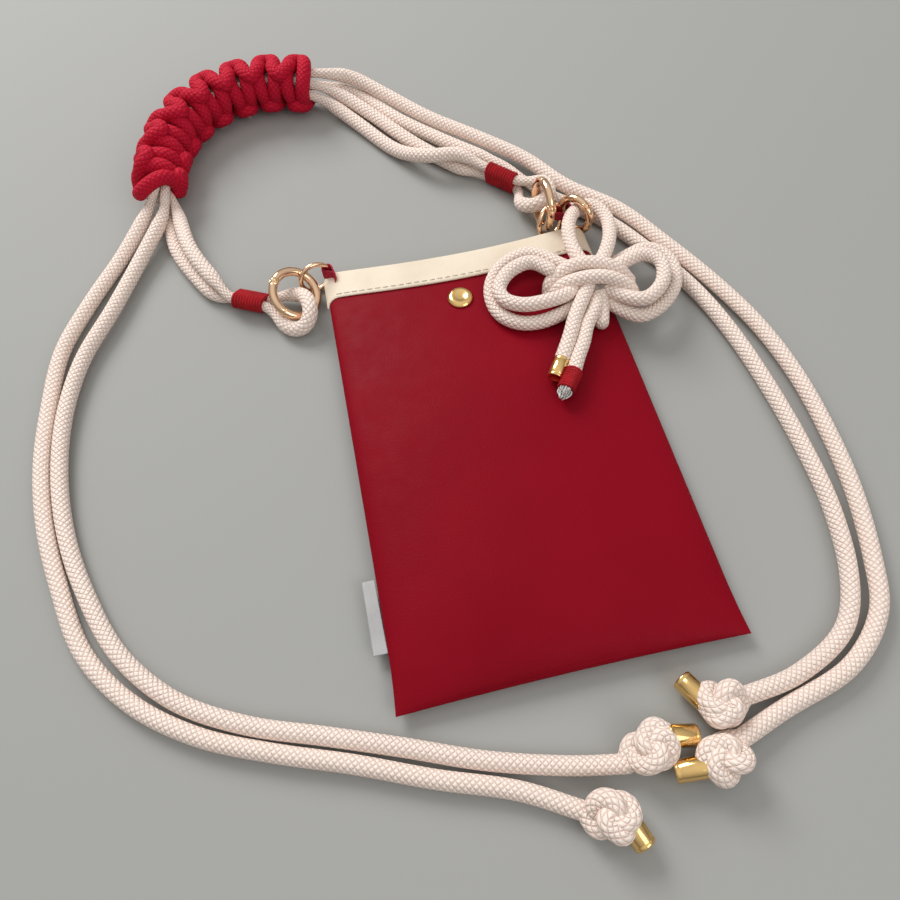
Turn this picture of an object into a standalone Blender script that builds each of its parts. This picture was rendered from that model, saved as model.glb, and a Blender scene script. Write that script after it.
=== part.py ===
"""Small crossbody pouch with a knotted cord strap and a braided grip.

The pouch lies on its back. Metres, +Z up, origin on the flat back at its middle,
+X to the right across the pouch, +Y toward the mouth.
"""
import math

import bmesh
import bpy
import numpy as np
from mathutils import Matrix, Vector

# Driving dimensions, in millimetres until they reach a mesh
MM = 0.001
SEAM_Z = 4.5
LEATHER = 1.2
SEAM_GAP = 0.3
HALF_WIDTH_BOTTOM = 58.0
HALF_WIDTH_MOUTH = 53.5
BOTTOM_Y = -87.0
MOUTH_Y = 81.5
MOUTH_RISE = 6.5
MOUTH_CORNER = 4.0
BULGE = 8.5
BULGE_MOUTH = 5.8
BOTTOM_ROUND = 0.22
BACK_EDGE = 9.0
BACK_LIFT = 1.3
LIFT_START_Y = 38.0
LIFT_LENGTH = 12.0
SKIRT = 2.0
BINDING = 0.8
BINDING_GAP = 0.3
BINDING_LEG = 12.0
SNAP_X = -3.5
SNAP_Y = 60.2
SNAP_CAP_D = 10.0
SNAP_SOCKET_D = 9.5
SNAP_POST_D = 2.0
SNAP_HOLE_D = 2.6
CORD_D = 6.0
CORE_FACTOR = 0.66
CORD_Z = 3.05
BOW_CORD_D = 5.0
CORE_OFFSET = 2.35
BRAID_TURNS = 15
BRAID_CORD_D = 2.2
BRAID_V = 10.136
BRAID_H = 7.377
GATE_SWING_GAP = 0.4
TAB_THICKNESS = 1.6

COLLECTION = "crossbody_pouch"
CUTTERS = "crossbody_pouch_cutters"

# Colours in linear RGB, with metallic and roughness
FINISHES = {
    "leather": ((0.235, 0.004, 0.012), 0.0, 0.42),
    "binding": ((0.72, 0.58, 0.42), 0.0, 0.55),
    "cord": ((0.86, 0.68, 0.58), 0.0, 0.9),
    "braid": ((0.45, 0.002, 0.025), 0.0, 0.85),
    "wrap": ((0.36, 0.001, 0.006), 0.0, 0.6),
    "webbing": ((0.36, 0.002, 0.03), 0.0, 0.8),
    "rose_metal": ((0.80, 0.52, 0.36), 1.0, 0.16),
    "gold_metal": ((0.85, 0.60, 0.28), 1.0, 0.2),
    "label": ((0.45, 0.45, 0.45), 0.0, 0.8),
    "white_tip": ((0.85, 0.82, 0.78), 0.0, 0.9),
}


def clear_scene():
    for obj in list(bpy.data.objects):
        bpy.data.objects.remove(obj, do_unlink=True)


def collection(name):
    col = bpy.data.collections.get(name)
    if col is None:
        col = bpy.data.collections.new(name)
        bpy.context.scene.collection.children.link(col)
    return col


def finish(obj, kind):
    """Give an object its own material of one kind."""
    colour, metallic, roughness = FINISHES[kind]
    mat = bpy.data.materials.new(obj.name + "_" + kind)
    mat.use_nodes = True
    shader = mat.node_tree.nodes["Principled BSDF"]
    shader.inputs["Base Color"].default_value = (*colour, 1.0)
    shader.inputs["Metallic"].default_value = metallic
    shader.inputs["Roughness"].default_value = roughness
    mat.diffuse_color = (*colour, 1.0)
    obj.data.materials.clear()
    obj.data.materials.append(mat)


def add_part(name, data, kind):
    obj = bpy.data.objects.new(name, data)
    collection(COLLECTION).objects.link(obj)
    finish(obj, kind)
    obj.parent = ROOT
    return obj


def add_cutter(name, data):
    obj = bpy.data.objects.new(name, data)
    collection(CUTTERS).objects.link(obj)
    obj.hide_render = True
    obj.display_type = "WIRE"
    obj.parent = ROOT
    return obj


def boolean(obj, tool, operation="DIFFERENCE"):
    mod = obj.modifiers.new(operation.lower() + "_" + tool.name, "BOOLEAN")
    mod.operation = operation
    mod.solver = "EXACT"
    mod.object = tool


def mesh_of(bm, name):
    """Turn a bmesh in millimetres into a mesh in metres."""
    bmesh.ops.recalc_face_normals(bm, faces=bm.faces)
    bmesh.ops.scale(bm, vec=(MM, MM, MM), verts=bm.verts)
    mesh = bpy.data.meshes.new(name)
    bm.to_mesh(mesh)
    bm.free()
    return mesh


def box_mesh(name, size, matrix=None):
    bm = bmesh.new()
    bmesh.ops.create_cube(bm, size=1.0)
    bmesh.ops.scale(bm, vec=size, verts=bm.verts)
    if matrix is not None:
        bmesh.ops.transform(bm, matrix=matrix, verts=bm.verts)
    return mesh_of(bm, name)


def cylinder_mesh(name, radius, length, matrix=None, sides=16, radius_top=None):
    bm = bmesh.new()
    top = radius if radius_top is None else radius_top
    bmesh.ops.create_cone(bm, cap_ends=True, segments=sides, radius1=radius, radius2=top, depth=length)
    if matrix is not None:
        bmesh.ops.transform(bm, matrix=matrix, verts=bm.verts)
    return mesh_of(bm, name)


def lathe_mesh(name, profile, matrix=None, sides=16):
    """Spin a profile of (radius, height) points about Z; both ends lie on the axis."""
    bm = bmesh.new()
    verts = [bm.verts.new((r, 0.0, z)) for r, z in profile]
    edges = [bm.edges.new((a, b)) for a, b in zip(verts[:-1], verts[1:])]
    bmesh.ops.spin(
        bm, geom=verts + edges, axis=(0, 0, 1), cent=(0, 0, 0), dvec=(0, 0, 0),
        angle=2 * math.pi, steps=sides, use_merge=True, use_duplicate=False,
    )
    bmesh.ops.remove_doubles(bm, verts=bm.verts, dist=0.001)
    if matrix is not None:
        bmesh.ops.transform(bm, matrix=matrix, verts=bm.verts)
    return mesh_of(bm, name)


def frame_matrix(origin, z_axis, x_hint=(1.0, 0.0, 0.0)):
    """Matrix whose Z is z_axis and whose X is the hint made square to it."""
    z = Vector(z_axis).normalized()
    x = Vector(x_hint)
    x = (x - z * x.dot(z)).normalized()
    y = z.cross(x)
    mat = Matrix((x, y, z)).transposed().to_4x4()
    mat.translation = Vector(origin)
    return mat


# Routes of the cords, in millimetres, read off the photo and eased apart where cords touch
CORD_POINTS = {
    "strap_cord_a": [
        (-8.8, -125.5, 3.9), (-26.7, -115.5, 3.1), (-50.1, -107, 3.1), (-73, -97.5, 3.1),
        (-96.4, -88.9, 3.1), (-119.1, -78.8, 3.1), (-139.1, -64, 3.1), (-153.6, -44.2, 3.2),
        (-160.9, -20.4, 3.2), (-165.8, 3.9, 3.2), (-166.9, 28.7, 3.4), (-164.1, 53.4, 3.4),
        (-159, 77.7, 3.4), (-147.2, 99.6, 3.5), (-133.8, 120.4, 3.5), (-121, 139.4, 7.2),
        (-118.1, 142.8, 10.6), (-115.3, 144.8, 14.3), (-114.8, 149.8, 14.7), (-113.4, 158.1, 15.1),
        (-110.4, 165.9, 15.4), (-106.4, 173.4, 15.5), (-101.5, 180.2, 15.5), (-95.5, 186.2, 15.4),
        (-88.7, 191.1, 15.4), (-80.9, 194.3, 15.4), (-72.7, 196.1, 15.4), (-64.3, 196.3, 15.4),
        (-55.9, 194.9, 15.4), (-47.9, 192.6, 15), (-40.4, 191.7, 12.1), (-30.3, 188.8, 7.2),
        (-17.7, 175.1, 4.2), (-3.7, 154.6, 3.7), (12.5, 135.7, 3.3), (23.3, 128.2, 3.2),
        (29.6, 122.6, 3.1), (33.8, 118.3, 3.1), (34.6, 114.6, 3.2), (33, 106.8, 5.3), (36.5, 101.8, 8),
        (40.2, 101.4, 9.2), (43.9, 103.8, 9.6), (45.6, 108.2, 9.8), (44.6, 111.9, 9.7),
        (41, 113.7, 9.1), (36, 116.2, 7.9), (32.6, 118.6, 7.7), (26.7, 124.3, 7.7),
        (20.8, 130.2, 8.2), (12.9, 136.5, 9.7), (-0.4, 140.1, 8.7), (-12.2, 152.7, 3.5),
        (-25.5, 173.4, 3.2), (-35.4, 185.5, 5.6), (-43.8, 189, 9.8), (-51.1, 192.5, 10.8),
        (-59.3, 194.6, 10.8), (-67.6, 195.5, 10.8), (-76, 194.6, 10.8), (-84.1, 192.2, 10.8),
        (-91.5, 188.1, 10.8), (-97.6, 182.4, 10.9), (-102.5, 175.5, 11.3), (-106.1, 167.9, 11.9),
        (-108.9, 160, 12.4), (-110.6, 151.7, 12.6), (-112.4, 143.6, 11.2), (-115.1, 134, 7.8),
        (-126.9, 114.4, 4.7), (-138.5, 92.6, 4.5), (-150.9, 71.3, 4.3), (-158.1, 47.7, 4.2),
        (-160.3, 23, 4.1), (-158.2, -1.6, 3.9), (-151.7, -25.5, 3.8), (-141.6, -48.1, 3.7),
        (-125.1, -66.5, 3.6), (-103.7, -78.9, 3.5), (-80.3, -87.5, 3.4), (-57.1, -96.2, 3.3),
        (-34, -105.3, 3.2), (-10.1, -112.2, 3.1), (7.2, -115.6, 3.5),
    ],
    "strap_cord_b": [
        (42.2, -116.7, 5.3), (60, -110.9, 3.2), (84, -103.9, 3.3), (100.4, -90.1, 3.4),
        (106.7, -72.8, 3.7), (111.4, -48, 3.8), (112.5, -22.9, 4), (111, 2.2, 4.1), (105.6, 26.7, 4.3),
        (96.2, 49.9, 4.6), (84.7, 72.2, 4.8), (72.1, 93.7, 5.1), (54.5, 111.3, 5.4), (41, 131.4, 5.7),
        (23.5, 148.9, 6.1), (5.3, 165.9, 6.4), (-10.9, 184.9, 7), (-23.8, 195.6, 10.1),
        (-36.6, 196, 14.5), (-44.7, 196.5, 15.6), (-53.4, 199, 14.4), (-61.7, 200.7, 14.4),
        (-70.2, 201, 14.4), (-78.6, 199.7, 14.4), (-86.7, 197.1, 14.4), (-94.1, 193.1, 14.4),
        (-100.6, 187.6, 14.2), (-106.2, 181.3, 13.6), (-110.6, 174, 12.9), (-113.8, 166.3, 12),
        (-116.1, 158.1, 11.1), (-117, 150.3, 10.3), (-115.4, 143.7, 5.9), (-113.6, 137.6, 2.8),
        (-111.2, 117.1, 3), (-100.7, 94.8, 3), (-95.1, 89.3, 2.1), (-89.9, 89, 2.5), (-83.1, 85.7, 3),
        (-77.4, 83, 3), (-73, 83.7, 3.4), (-65, 81.3, 5.7), (-61.8, 76.7, 7.8), (-61.2, 70.9, 7.8),
        (-63.1, 67.1, 5.6), (-66.4, 65.9, 3.8), (-71.1, 68, 3.1), (-76.6, 76.9, 4.3),
        (-79.1, 79.4, 5.1), (-84, 81.8, 5.4), (-91.1, 85.6, 5.5), (-96, 93.2, 7.9),
        (-104.8, 112.5, 9.1), (-109.2, 136.9, 6.3), (-111.7, 146.4, 7.3), (-112.6, 154.7, 8.5),
        (-111.1, 163, 8.7), (-108.8, 171.2, 8.9), (-105.4, 179, 9.3), (-100.5, 185.9, 9.6),
        (-94.4, 191.7, 9.8), (-87, 195.9, 9.8), (-79, 198.6, 9.8), (-70.6, 200, 9.8),
        (-62.1, 199.7, 9.8), (-53.8, 198.1, 9.9), (-45.1, 196.9, 9.1), (-35.7, 197, 6.3),
        (-21.8, 190.5, 3.4), (-6.6, 170.8, 3), (10.5, 152.5, 3.1), (28.4, 135.2, 3.1), (34, 128.5, 3.1),
        (38.5, 121.2, 3.1), (47.3, 108.7, 3.1), (65.1, 91.4, 3.1), (78.3, 70.2, 3.1), (89.2, 47.7, 3.1),
        (95.9, 23.7, 3.1), (99.7, -1, 3.1), (101.8, -25.9, 3.1), (101.8, -50.9, 3.1),
        (97.2, -75.5, 3.1), (87.4, -92.4, 3.1), (67.8, -102.1, 3.1), (47.7, -105.1, 4.8),
    ],
    "bow_left_loop_outer": [
        (41.6, 59.3, 15.1), (35.9, 64.2, 15.5), (30.5, 69.6, 15.3), (25.6, 71.8, 15),
        (18.8, 70.5, 14.7), (12.6, 66.5, 14.2), (8.6, 60.2, 14), (7.5, 52.9, 14), (9.3, 46.1, 14),
        (14.6, 41.2, 14.2), (21.7, 39.8, 14), (29.1, 41.1, 13.6), (36, 44, 12.7), (42, 48.6, 12.1),
    ],
    "bow_left_loop_inner": [
        (31.5, 59.1, 18.6), (26.9, 63.5, 18.9), (22.6, 64.3, 19), (15.7, 61.5, 19.1),
        (10.8, 56, 19.2), (10.1, 51.7, 19.2), (12.2, 47.8, 19.3), (18.1, 44.9, 19.4),
        (25.7, 44.9, 19.1), (33, 46.8, 17.5), (39.6, 50.1, 15.5),
    ],
    "bow_right_loop_outer": [
        (50.8, 57, 11.9), (57.1, 61.2, 11.4), (64, 64.1, 10.6), (71.1, 66.6, 10.2), (75.6, 66.2, 10.2),
        (79.4, 62.9, 10.3), (81.3, 56.4, 10.5), (79.9, 49.1, 10.6), (75.8, 42.9, 10.8),
        (69.9, 38.2, 10.9), (63.2, 35.6, 11), (59, 36.4, 11.2), (53.7, 41, 11.6), (48.9, 46.8, 12.3),
    ],
    "bow_right_loop_inner": [
        (53.2, 55.5, 16.1), (60.5, 57.6, 16.6), (67.2, 59.5, 16.7), (71.4, 58.3, 16.7),
        (74, 55.6, 16.7), (74.5, 51.3, 16.8), (71.7, 44.6, 16.8), (65.9, 39.8, 16.8), (61.1, 39, 16.9),
        (56.4, 41.4, 16.8), (51.4, 47, 15.9),
    ],
    "bow_hanging_loop": [
        (46.4, 57.5, 16.6), (43.6, 65.6, 17.4), (43.8, 73.8, 16.4), (45.7, 81.4, 15), (48.9, 88, 13),
        (53, 92.8, 10.3), (56.4, 94.6, 10.2), (59.4, 94.2, 10.2), (62.1, 91.5, 10.3),
        (63.5, 85.4, 10.7), (62, 78, 12.4), (59.3, 71, 14.6), (55.5, 64.4, 16.1), (50.7, 58.2, 16.6),
    ],
    "bow_left_tail": [
        (41.7, 46.4, 17.1), (38.1, 41.4, 16.8), (35, 36.9, 16.6), (31.8, 31, 16.5), (28.3, 25.2, 16.4),
        (24.6, 19.6, 16),
    ],
    "bow_right_tail": [
        (47.2, 46.2, 14.6), (43.3, 39.5, 14.7), (38.7, 33.4, 14.9), (35.4, 26.8, 15.3),
        (31.4, 20.5, 15.7), (27.7, 14, 16),
    ],
}
LEFT_WRAP = ((-90.0, 87.0, 4.1), (-78.0, 81.0, 4.1), 35.0)
RIGHT_WRAP = ((24.0, 127.6, 5.4), (34.0, 117.6, 5.4), 80.0)
BRAID_LINE = [
    (-43.5, 192.8, 12.6), (-54.1, 196.4, 12.6), (-64, 198.2, 12.6), (-74.6, 197.8, 12.6),
    (-91, 192, 12.6), (-104.1, 179, 12.4), (-111.7, 162.2, 12), (-114.2, 148.9, 11.4), (-113.5, 145, 11),
]


def route(points):
    return [np.array((p[0], p[1], p[2] if len(p) > 2 else CORD_Z), float) for p in points]


def dense(points, step=0.5):
    """Smooth curve through hand-placed points, read at an even fine step."""
    pts = np.array(points, float)
    ext = np.vstack([2 * pts[0] - pts[1], pts, 2 * pts[-1] - pts[-2]])
    out = []
    for i in range(1, len(ext) - 2):
        p0, p1, p2, p3 = ext[i - 1], ext[i], ext[i + 1], ext[i + 2]
        k1 = max(np.linalg.norm(p1 - p0), 1e-6) ** 0.5
        k2 = max(np.linalg.norm(p2 - p1), 1e-6) ** 0.5
        k3 = max(np.linalg.norm(p3 - p2), 1e-6) ** 0.5
        m1 = ((p1 - p0) / k1 - (p2 - p0) / (k1 + k2) + (p2 - p1) / k2) * k2
        m2 = ((p2 - p1) / k2 - (p3 - p1) / (k2 + k3) + (p3 - p2) / k3) * k2
        n = max(2, int(np.linalg.norm(p2 - p1) / step))
        t = np.linspace(0, 1, n, endpoint=False)[:, None]
        out.append(
            (2 * t**3 - 3 * t**2 + 1) * p1 + (t**3 - 2 * t**2 + t) * m1
            + (-2 * t**3 + 3 * t**2) * p2 + (t**3 - t**2) * m2
        )
    out.append(pts[-1:])
    return even(np.vstack(out), step)


def lengths(pts):
    return np.concatenate([[0.0], np.cumsum(np.linalg.norm(np.diff(pts, axis=0), axis=1))])


def even(pts, step):
    s = lengths(pts)
    n = max(2, int(round(s[-1] / step)) + 1)
    at = np.linspace(0, s[-1], n)
    return np.stack([np.interp(at, s, pts[:, k]) for k in range(3)], axis=1)


def soften(pts, reach):
    """Average along the curve with the ends kept."""
    if reach < 1:
        return pts
    weights = np.exp(-0.5 * (np.arange(-2 * reach, 2 * reach + 1) / reach) ** 2)
    weights /= weights.sum()
    pad = 2 * reach
    head = 2 * pts[0] - pts[pad:0:-1]
    tail = 2 * pts[-1] - pts[-2:-pad - 2:-1]
    ext = np.vstack([head, pts, tail])
    return np.stack([np.convolve(ext[:, k], weights, mode="valid") for k in range(3)], axis=1)


def thin_out(pts, radii, low, high, factor=0.6):
    """Keep points closer together where the curve bends more."""
    s = lengths(pts)
    d1 = np.gradient(pts, s, axis=0)
    d1 /= np.linalg.norm(d1, axis=1)[:, None]
    bend = np.linalg.norm(np.gradient(d1, s, axis=0), axis=1)
    ker = np.ones(9) / 9
    bend = np.convolve(np.pad(bend, 4, mode="edge"), ker, mode="valid")
    top = np.where(np.asarray(radii) < 0.72 * CORD_D / 2, np.minimum(high, 8.5), high)
    step = np.clip(factor / np.maximum(bend, 1e-6), low, top)
    count = np.concatenate([[0.0], np.cumsum(np.diff(s) / (0.5 * (step[1:] + step[:-1])))])
    n = max(3, int(math.ceil(count[-1])) + 1)
    at = np.interp(np.linspace(0, count[-1], n), count, s)
    keep = np.stack([np.interp(at, s, pts[:, k]) for k in range(3)], axis=1)
    return keep, np.interp(at, s, radii)


def tube_data(name, pts, radii, resolution=2, closed=False):
    """Filled bevelled polyline; radii in millimetres, one to a point."""
    curve = bpy.data.curves.new(name, "CURVE")
    curve.dimensions = "3D"
    curve.bevel_depth = MM
    curve.bevel_resolution = resolution
    curve.use_fill_caps = not closed
    spline = curve.splines.new("POLY")
    spline.points.add(len(pts) - 1)
    spline.use_cyclic_u = closed
    for point, place, radius in zip(spline.points, pts, radii):
        point.co = (place[0] * MM, place[1] * MM, place[2] * MM, 1.0)
        point.radius = radius
    return curve


TUBES = []


def cord(name, pts, radii, kind, resolution=2):
    TUBES.append((name, np.array(pts), np.array(radii)))
    return add_part(name, tube_data(name, pts, radii, resolution), kind)


def cut_cord(name, pts, radii, kind, tools):
    """Cord as a mesh, with room cut out of it where it meets the bow knot."""
    TUBES.append((name, np.array(pts), np.array(radii)))
    obj = add_part(name, solid_of(tube_data(name, pts, radii, 2)), kind)
    for tool in tools:
        boolean(obj, tool)
    return obj


def solid_of(curve):
    """Mesh copy of a bevelled curve, for parts that are cut afterwards."""
    temp = bpy.data.objects.new("temp", curve)
    bpy.context.scene.collection.objects.link(temp)
    graph = bpy.context.evaluated_depsgraph_get()
    mesh = bpy.data.meshes.new_from_object(temp.evaluated_get(graph))
    bpy.data.objects.remove(temp, do_unlink=True)
    bm = bmesh.new()
    bm.from_mesh(mesh)
    bmesh.ops.remove_doubles(bm, verts=bm.verts, dist=1e-6)
    bmesh.ops.recalc_face_normals(bm, faces=bm.faces)
    bm.to_mesh(mesh)
    bm.free()
    return mesh


def smoothstep(x):
    x = min(max(x, 0.0), 1.0)
    return x * x * (3 - 2 * x)


def half_width(y):
    """Half width of the pouch at a height along it."""
    t = (y - BOTTOM_Y) / (MOUTH_Y + MOUTH_RISE - BOTTOM_Y)
    flare = 1.0 * max(0.0, 1 - t / 0.12) ** 2
    return HALF_WIDTH_BOTTOM - 1.0 + (HALF_WIDTH_MOUTH - HALF_WIDTH_BOTTOM + 1.0) * t + flare


def mouth_y(s):
    u = min(max((abs(s) - 0.9) / 0.1, 0.0), 1.0)
    return MOUTH_Y + MOUTH_RISE * s * s - MOUTH_CORNER * (1 - math.sqrt(1 - u * u))


def bottom_y(s):
    return BOTTOM_Y + 1.0 * (1 - s * s)


def front_point(phi, y, depth=0.0):
    """Front of the pouch: an oval section over the seam plane, depth inside the leather face."""
    s = math.sin(phi)
    low = bottom_y(s)
    r = (y - low) / (mouth_y(s) - low)
    inner = (y - low - depth) / (mouth_y(s) - low)
    height = BULGE + (BULGE_MOUTH - BULGE) * smoothstep((r - 0.5) / 0.5)
    q = 1 - min(max(inner / BOTTOM_ROUND, 0.0), 1.0)
    rise = (height - depth) * math.sqrt(max(0.0, 1 - q * q))
    return Vector(((half_width(y) - depth) * s, y, SEAM_Z + rise * math.cos(phi)))


def back_point(u, y, depth=0.0):
    """Back of the pouch: flat, with rounded edges, lifted near the mouth."""
    hw = half_width(y) - depth
    x = hw * u
    ex = hw - abs(x)
    ey = y - bottom_y(u) - depth

    def fall(e):
        q = 1 - min(max(e / BACK_EDGE, 0.0), 1.0)
        return math.sqrt(max(0.0, 1 - q * q))

    lift = BACK_LIFT * smoothstep((y - LIFT_START_Y) / LIFT_LENGTH)
    return Vector((x, y, SEAM_Z - (SEAM_Z - lift - depth) * fall(ex) * fall(ey)))


FRONT_COLUMNS = [-90, -86, -80, -72, -62, -48, -30, -10, 10, 30, 48, 62, 72, 80, 86, 90]
FRONT_RATIOS = [0.0, 0.008, 0.03, 0.07, 0.12, 0.2, 0.36, 0.5, 0.6, 0.69, 0.77, 0.84, 0.92, 1.0]
BACK_COLUMNS = [-1.0, -0.99, -0.965, -0.93, -0.88, -0.84, -0.3, 0.3, 0.84, 0.88, 0.93, 0.965, 0.99, 1.0]
BACK_RATIOS = [0.0, 0.006, 0.02, 0.035, 0.055, 0.4, 0.71, 0.74, 0.77, 0.8, 1.0]


def shell_mesh(name, rows):
    """Closed band: a grid whose last row meets its first, with the two ends filled."""
    rows = rows + [rows[0]]
    bm = bmesh.new()
    n_x = len(rows[0])
    n_y = len(rows)
    bmesh.ops.create_grid(bm, x_segments=n_x - 1, y_segments=n_y - 1, size=0.5)
    for v in bm.verts:
        i = int(round((v.co.x + 0.5) * (n_x - 1)))
        j = int(round((v.co.y + 0.5) * (n_y - 1)))
        v.co = rows[j][i]
    bmesh.ops.remove_doubles(bm, verts=bm.verts, dist=1e-5)
    rim = [e for e in bm.edges if e.is_boundary]
    bmesh.ops.holes_fill(bm, edges=rim, sides=0)
    return mesh_of(bm, name)


def skirted(row, drop):
    """Row of places with one more at each end, past the seam plane."""
    step = Vector((0, 0, drop))
    return [row[0] + step] + row + [row[-1] + step]


def panel_rows(place, columns, ratios, drop):
    """Closed loop of rows: outer face bottom to mouth, then inner face back again."""
    rows = []
    for depth, order in ((0.0, ratios), (LEATHER, ratios[::-1])):
        face = []
        for r in order:
            row = []
            for c in columns:
                s = section(place, c)
                low = bottom_y(s) + depth
                row.append(place(angle(place, c), low + r * (mouth_y(s) - low), depth))
            face.append(skirted(row, drop))
        edge = face[0] if depth == 0.0 else face[-1]
        fallen = [Vector((p.x, p.y, SEAM_Z + drop)) for p in edge]
        face = [fallen] + face if depth == 0.0 else face + [fallen]
        rows += face
    return rows


def section(place, c):
    return math.sin(math.radians(c)) if place is front_point else c


def angle(place, c):
    return math.radians(c) if place is front_point else c


def seam_cutter(name, low, high):
    mid = 0.5 * (low + high)
    return add_cutter(name, box_mesh(name, (180.0, 220.0, high - low), Matrix.Translation((0, 0, mid))))


def front_normal(phi, y):
    h = 0.02
    a = front_point(phi + h, y) - front_point(phi - h, y)
    b = front_point(phi, y + 0.5) - front_point(phi, y - 0.5)
    return a.cross(b).normalized()


def build_panels():
    low_cut = seam_cutter("cut_below_seam", SEAM_Z - 30, SEAM_Z + SEAM_GAP / 2)
    high_cut = seam_cutter("cut_above_seam", SEAM_Z - SEAM_GAP / 2, SEAM_Z + 30)
    rows = panel_rows(front_point, FRONT_COLUMNS, FRONT_RATIOS, -SKIRT)
    front = add_part("front_panel", shell_mesh("front_panel", rows), "leather")
    boolean(front, low_cut)
    rows = panel_rows(back_point, BACK_COLUMNS, BACK_RATIOS, SKIRT)
    back = add_part("back_panel", shell_mesh("back_panel", rows), "leather")
    boolean(back, high_cut)
    return front, back, low_cut, high_cut


def binding_rows(place, columns, drop):
    """Closed loop of rows of a strip folded over the mouth edge."""
    out = -(BINDING_GAP + BINDING)
    near = -BINDING_GAP
    deep = LEATHER + BINDING_GAP
    inner = deep + BINDING
    leg = BINDING_LEG
    tip = BINDING_GAP + BINDING
    loop = [
        (-leg, out), (-leg * 0.5, out), (0.0, out), (tip * 0.8, out * 0.5), (tip, LEATHER / 2),
        (tip * 0.8, inner - 0.5), (0.0, inner), (-leg * 0.5, inner), (-leg, inner), (-leg, deep),
        (-leg * 0.5, deep), (0.0, deep), (BINDING_GAP, LEATHER), (BINDING_GAP, 0.0), (0.0, near),
        (-leg * 0.5, near), (-leg, near),
    ]
    rows = []
    for step, depth in loop:
        row = []
        for c in columns:
            y = mouth_y(section(place, c)) + step
            row.append(place(angle(place, c), y, depth))
        rows.append(skirted(row, drop))
    return rows


def build_bindings(low_cut, high_cut):
    columns = [-90, -84, -76, -66, -52, -34, -12, 12, 34, 52, 66, 76, 84, 90]
    front = shell_mesh("front_binding", binding_rows(front_point, columns, -SKIRT))
    front = add_part("front_binding", front, "binding")
    boolean(front, low_cut)
    columns = [-1.0, -0.985, -0.955, -0.92, -0.86, -0.82, -0.3, 0.3, 0.82, 0.86, 0.92, 0.955, 0.985, 1.0]
    back = shell_mesh("back_binding", binding_rows(back_point, columns, SKIRT))
    back = add_part("back_binding", back, "binding")
    boolean(back, high_cut)
    return front, back


def build_snap(front, back):
    """Snap fastener: cap and socket in the front, stud and back cap in the back."""
    phi = math.asin(SNAP_X / half_width(SNAP_Y))
    top = front_point(phi, SNAP_Y)
    normal = front_normal(phi, SNAP_Y)
    place = frame_matrix(top, normal)
    r = SNAP_CAP_D / 2
    profile = [
        (0.0, 1.75), (1.5, 1.68), (3.0, 1.45), (4.2, 1.05), (r, 0.55), (r, 0.35),
        (SNAP_POST_D / 2, 0.35), (SNAP_POST_D / 2, -1.6), (0.0, -1.6),
    ]
    add_part("snap_cap", lathe_mesh("snap_cap", profile, place, 20), "gold_metal")
    r = SNAP_SOCKET_D / 2
    profile = [
        (0.0, -2.0), (1.4, -2.0), (1.4, -1.55), (r, -1.55), (r, -2.3), (3.4, -3.7),
        (2.45, -3.7), (2.45, -2.35), (0.0, -2.35),
    ]
    add_part("snap_socket", lathe_mesh("snap_socket", profile, place, 20), "gold_metal")
    hole = add_cutter("cut_front_snap_hole", cylinder_mesh("cut_front_snap_hole", SNAP_HOLE_D / 2, 8.0, place))
    boolean(front, hole)
    floor = Matrix.Translation((SNAP_X, SNAP_Y, 0.0))
    inner = BACK_LIFT + LEATHER
    profile = [
        (0.0, inner + 2.5), (1.6, inner + 2.4), (2.0, inner + 2.1), (2.0, inner + 1.1), (SNAP_SOCKET_D / 2, inner + 0.8),
        (SNAP_SOCKET_D / 2, inner + 0.3), (0.9, inner + 0.3), (0.9, BACK_LIFT + 0.3), (0.0, BACK_LIFT + 0.3),
    ]
    add_part("snap_stud", lathe_mesh("snap_stud", profile, floor, 20), "gold_metal")
    profile = [(0.0, 1.0), (SNAP_CAP_D / 2, 1.0), (SNAP_CAP_D / 2, 0.5), (3.6, 0.05), (0.0, 0.05)]
    add_part("snap_back_cap", lathe_mesh("snap_back_cap", profile, floor, 20), "gold_metal")
    hole = add_cutter("cut_back_snap_hole", cylinder_mesh("cut_back_snap_hole", SNAP_HOLE_D / 2, 8.0, floor))
    boolean(back, hole)


def build_label():
    """Bare folded strip that stands out of the left seam."""
    length = 25.0
    mid_y = -54.5
    x_in = -half_width(mid_y) - 0.45
    pts = [(x_in, 0.0), (x_in - 4.4, 0.0)]
    mid = Matrix.Translation((0.5 * (pts[0][0] + pts[1][0]), mid_y, 4.2))
    tilt = Matrix.Rotation(math.radians(-1.3), 4, "Z")
    obj = add_part("side_label", box_mesh("side_label", (4.4, length, 0.9), mid @ tilt), "label")
    mod = obj.modifiers.new("fold", "BEVEL")
    mod.width = 0.35 * MM
    mod.segments = 2
    mod.limit_method = "ANGLE"


RING_SPECS = {
    "left": ((-66.0, 80.3, 7.7), (0.461, -0.334, 0.822), 9.2, 1.8, 98.0, 180.0),
    "right": ((40.3, 98.5, 11.3), (0.995, 0.039, -0.094), 9.2, 1.8, 148.0, 68.0),
    "charm": ((52.6, 92.2, 8.8), (-0.809, -0.567, 0.146), 7.0, 1.7, 60.0, -13.0),
}
TAB_RINGS = {
    "left": ((-57.1, 86.8, 7.2), (0.279, -0.943, 0.181), 6.1, 0.9),
    "right": ((41.6, 91.6, 8.4), (0.51, -0.79, 0.33), 6.6, 0.9),
}


def ring_axes(normal):
    n = Vector(normal).normalized()
    ex = Vector((0, 0, 1)).cross(n).normalized()
    return ex, n.cross(ex), n


def ring_point(centre, normal, radius, degrees):
    ex, ey, n = ring_axes(normal)
    a = math.radians(degrees)
    return Vector(centre) + (ex * math.cos(a) + ey * math.sin(a)) * radius


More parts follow.
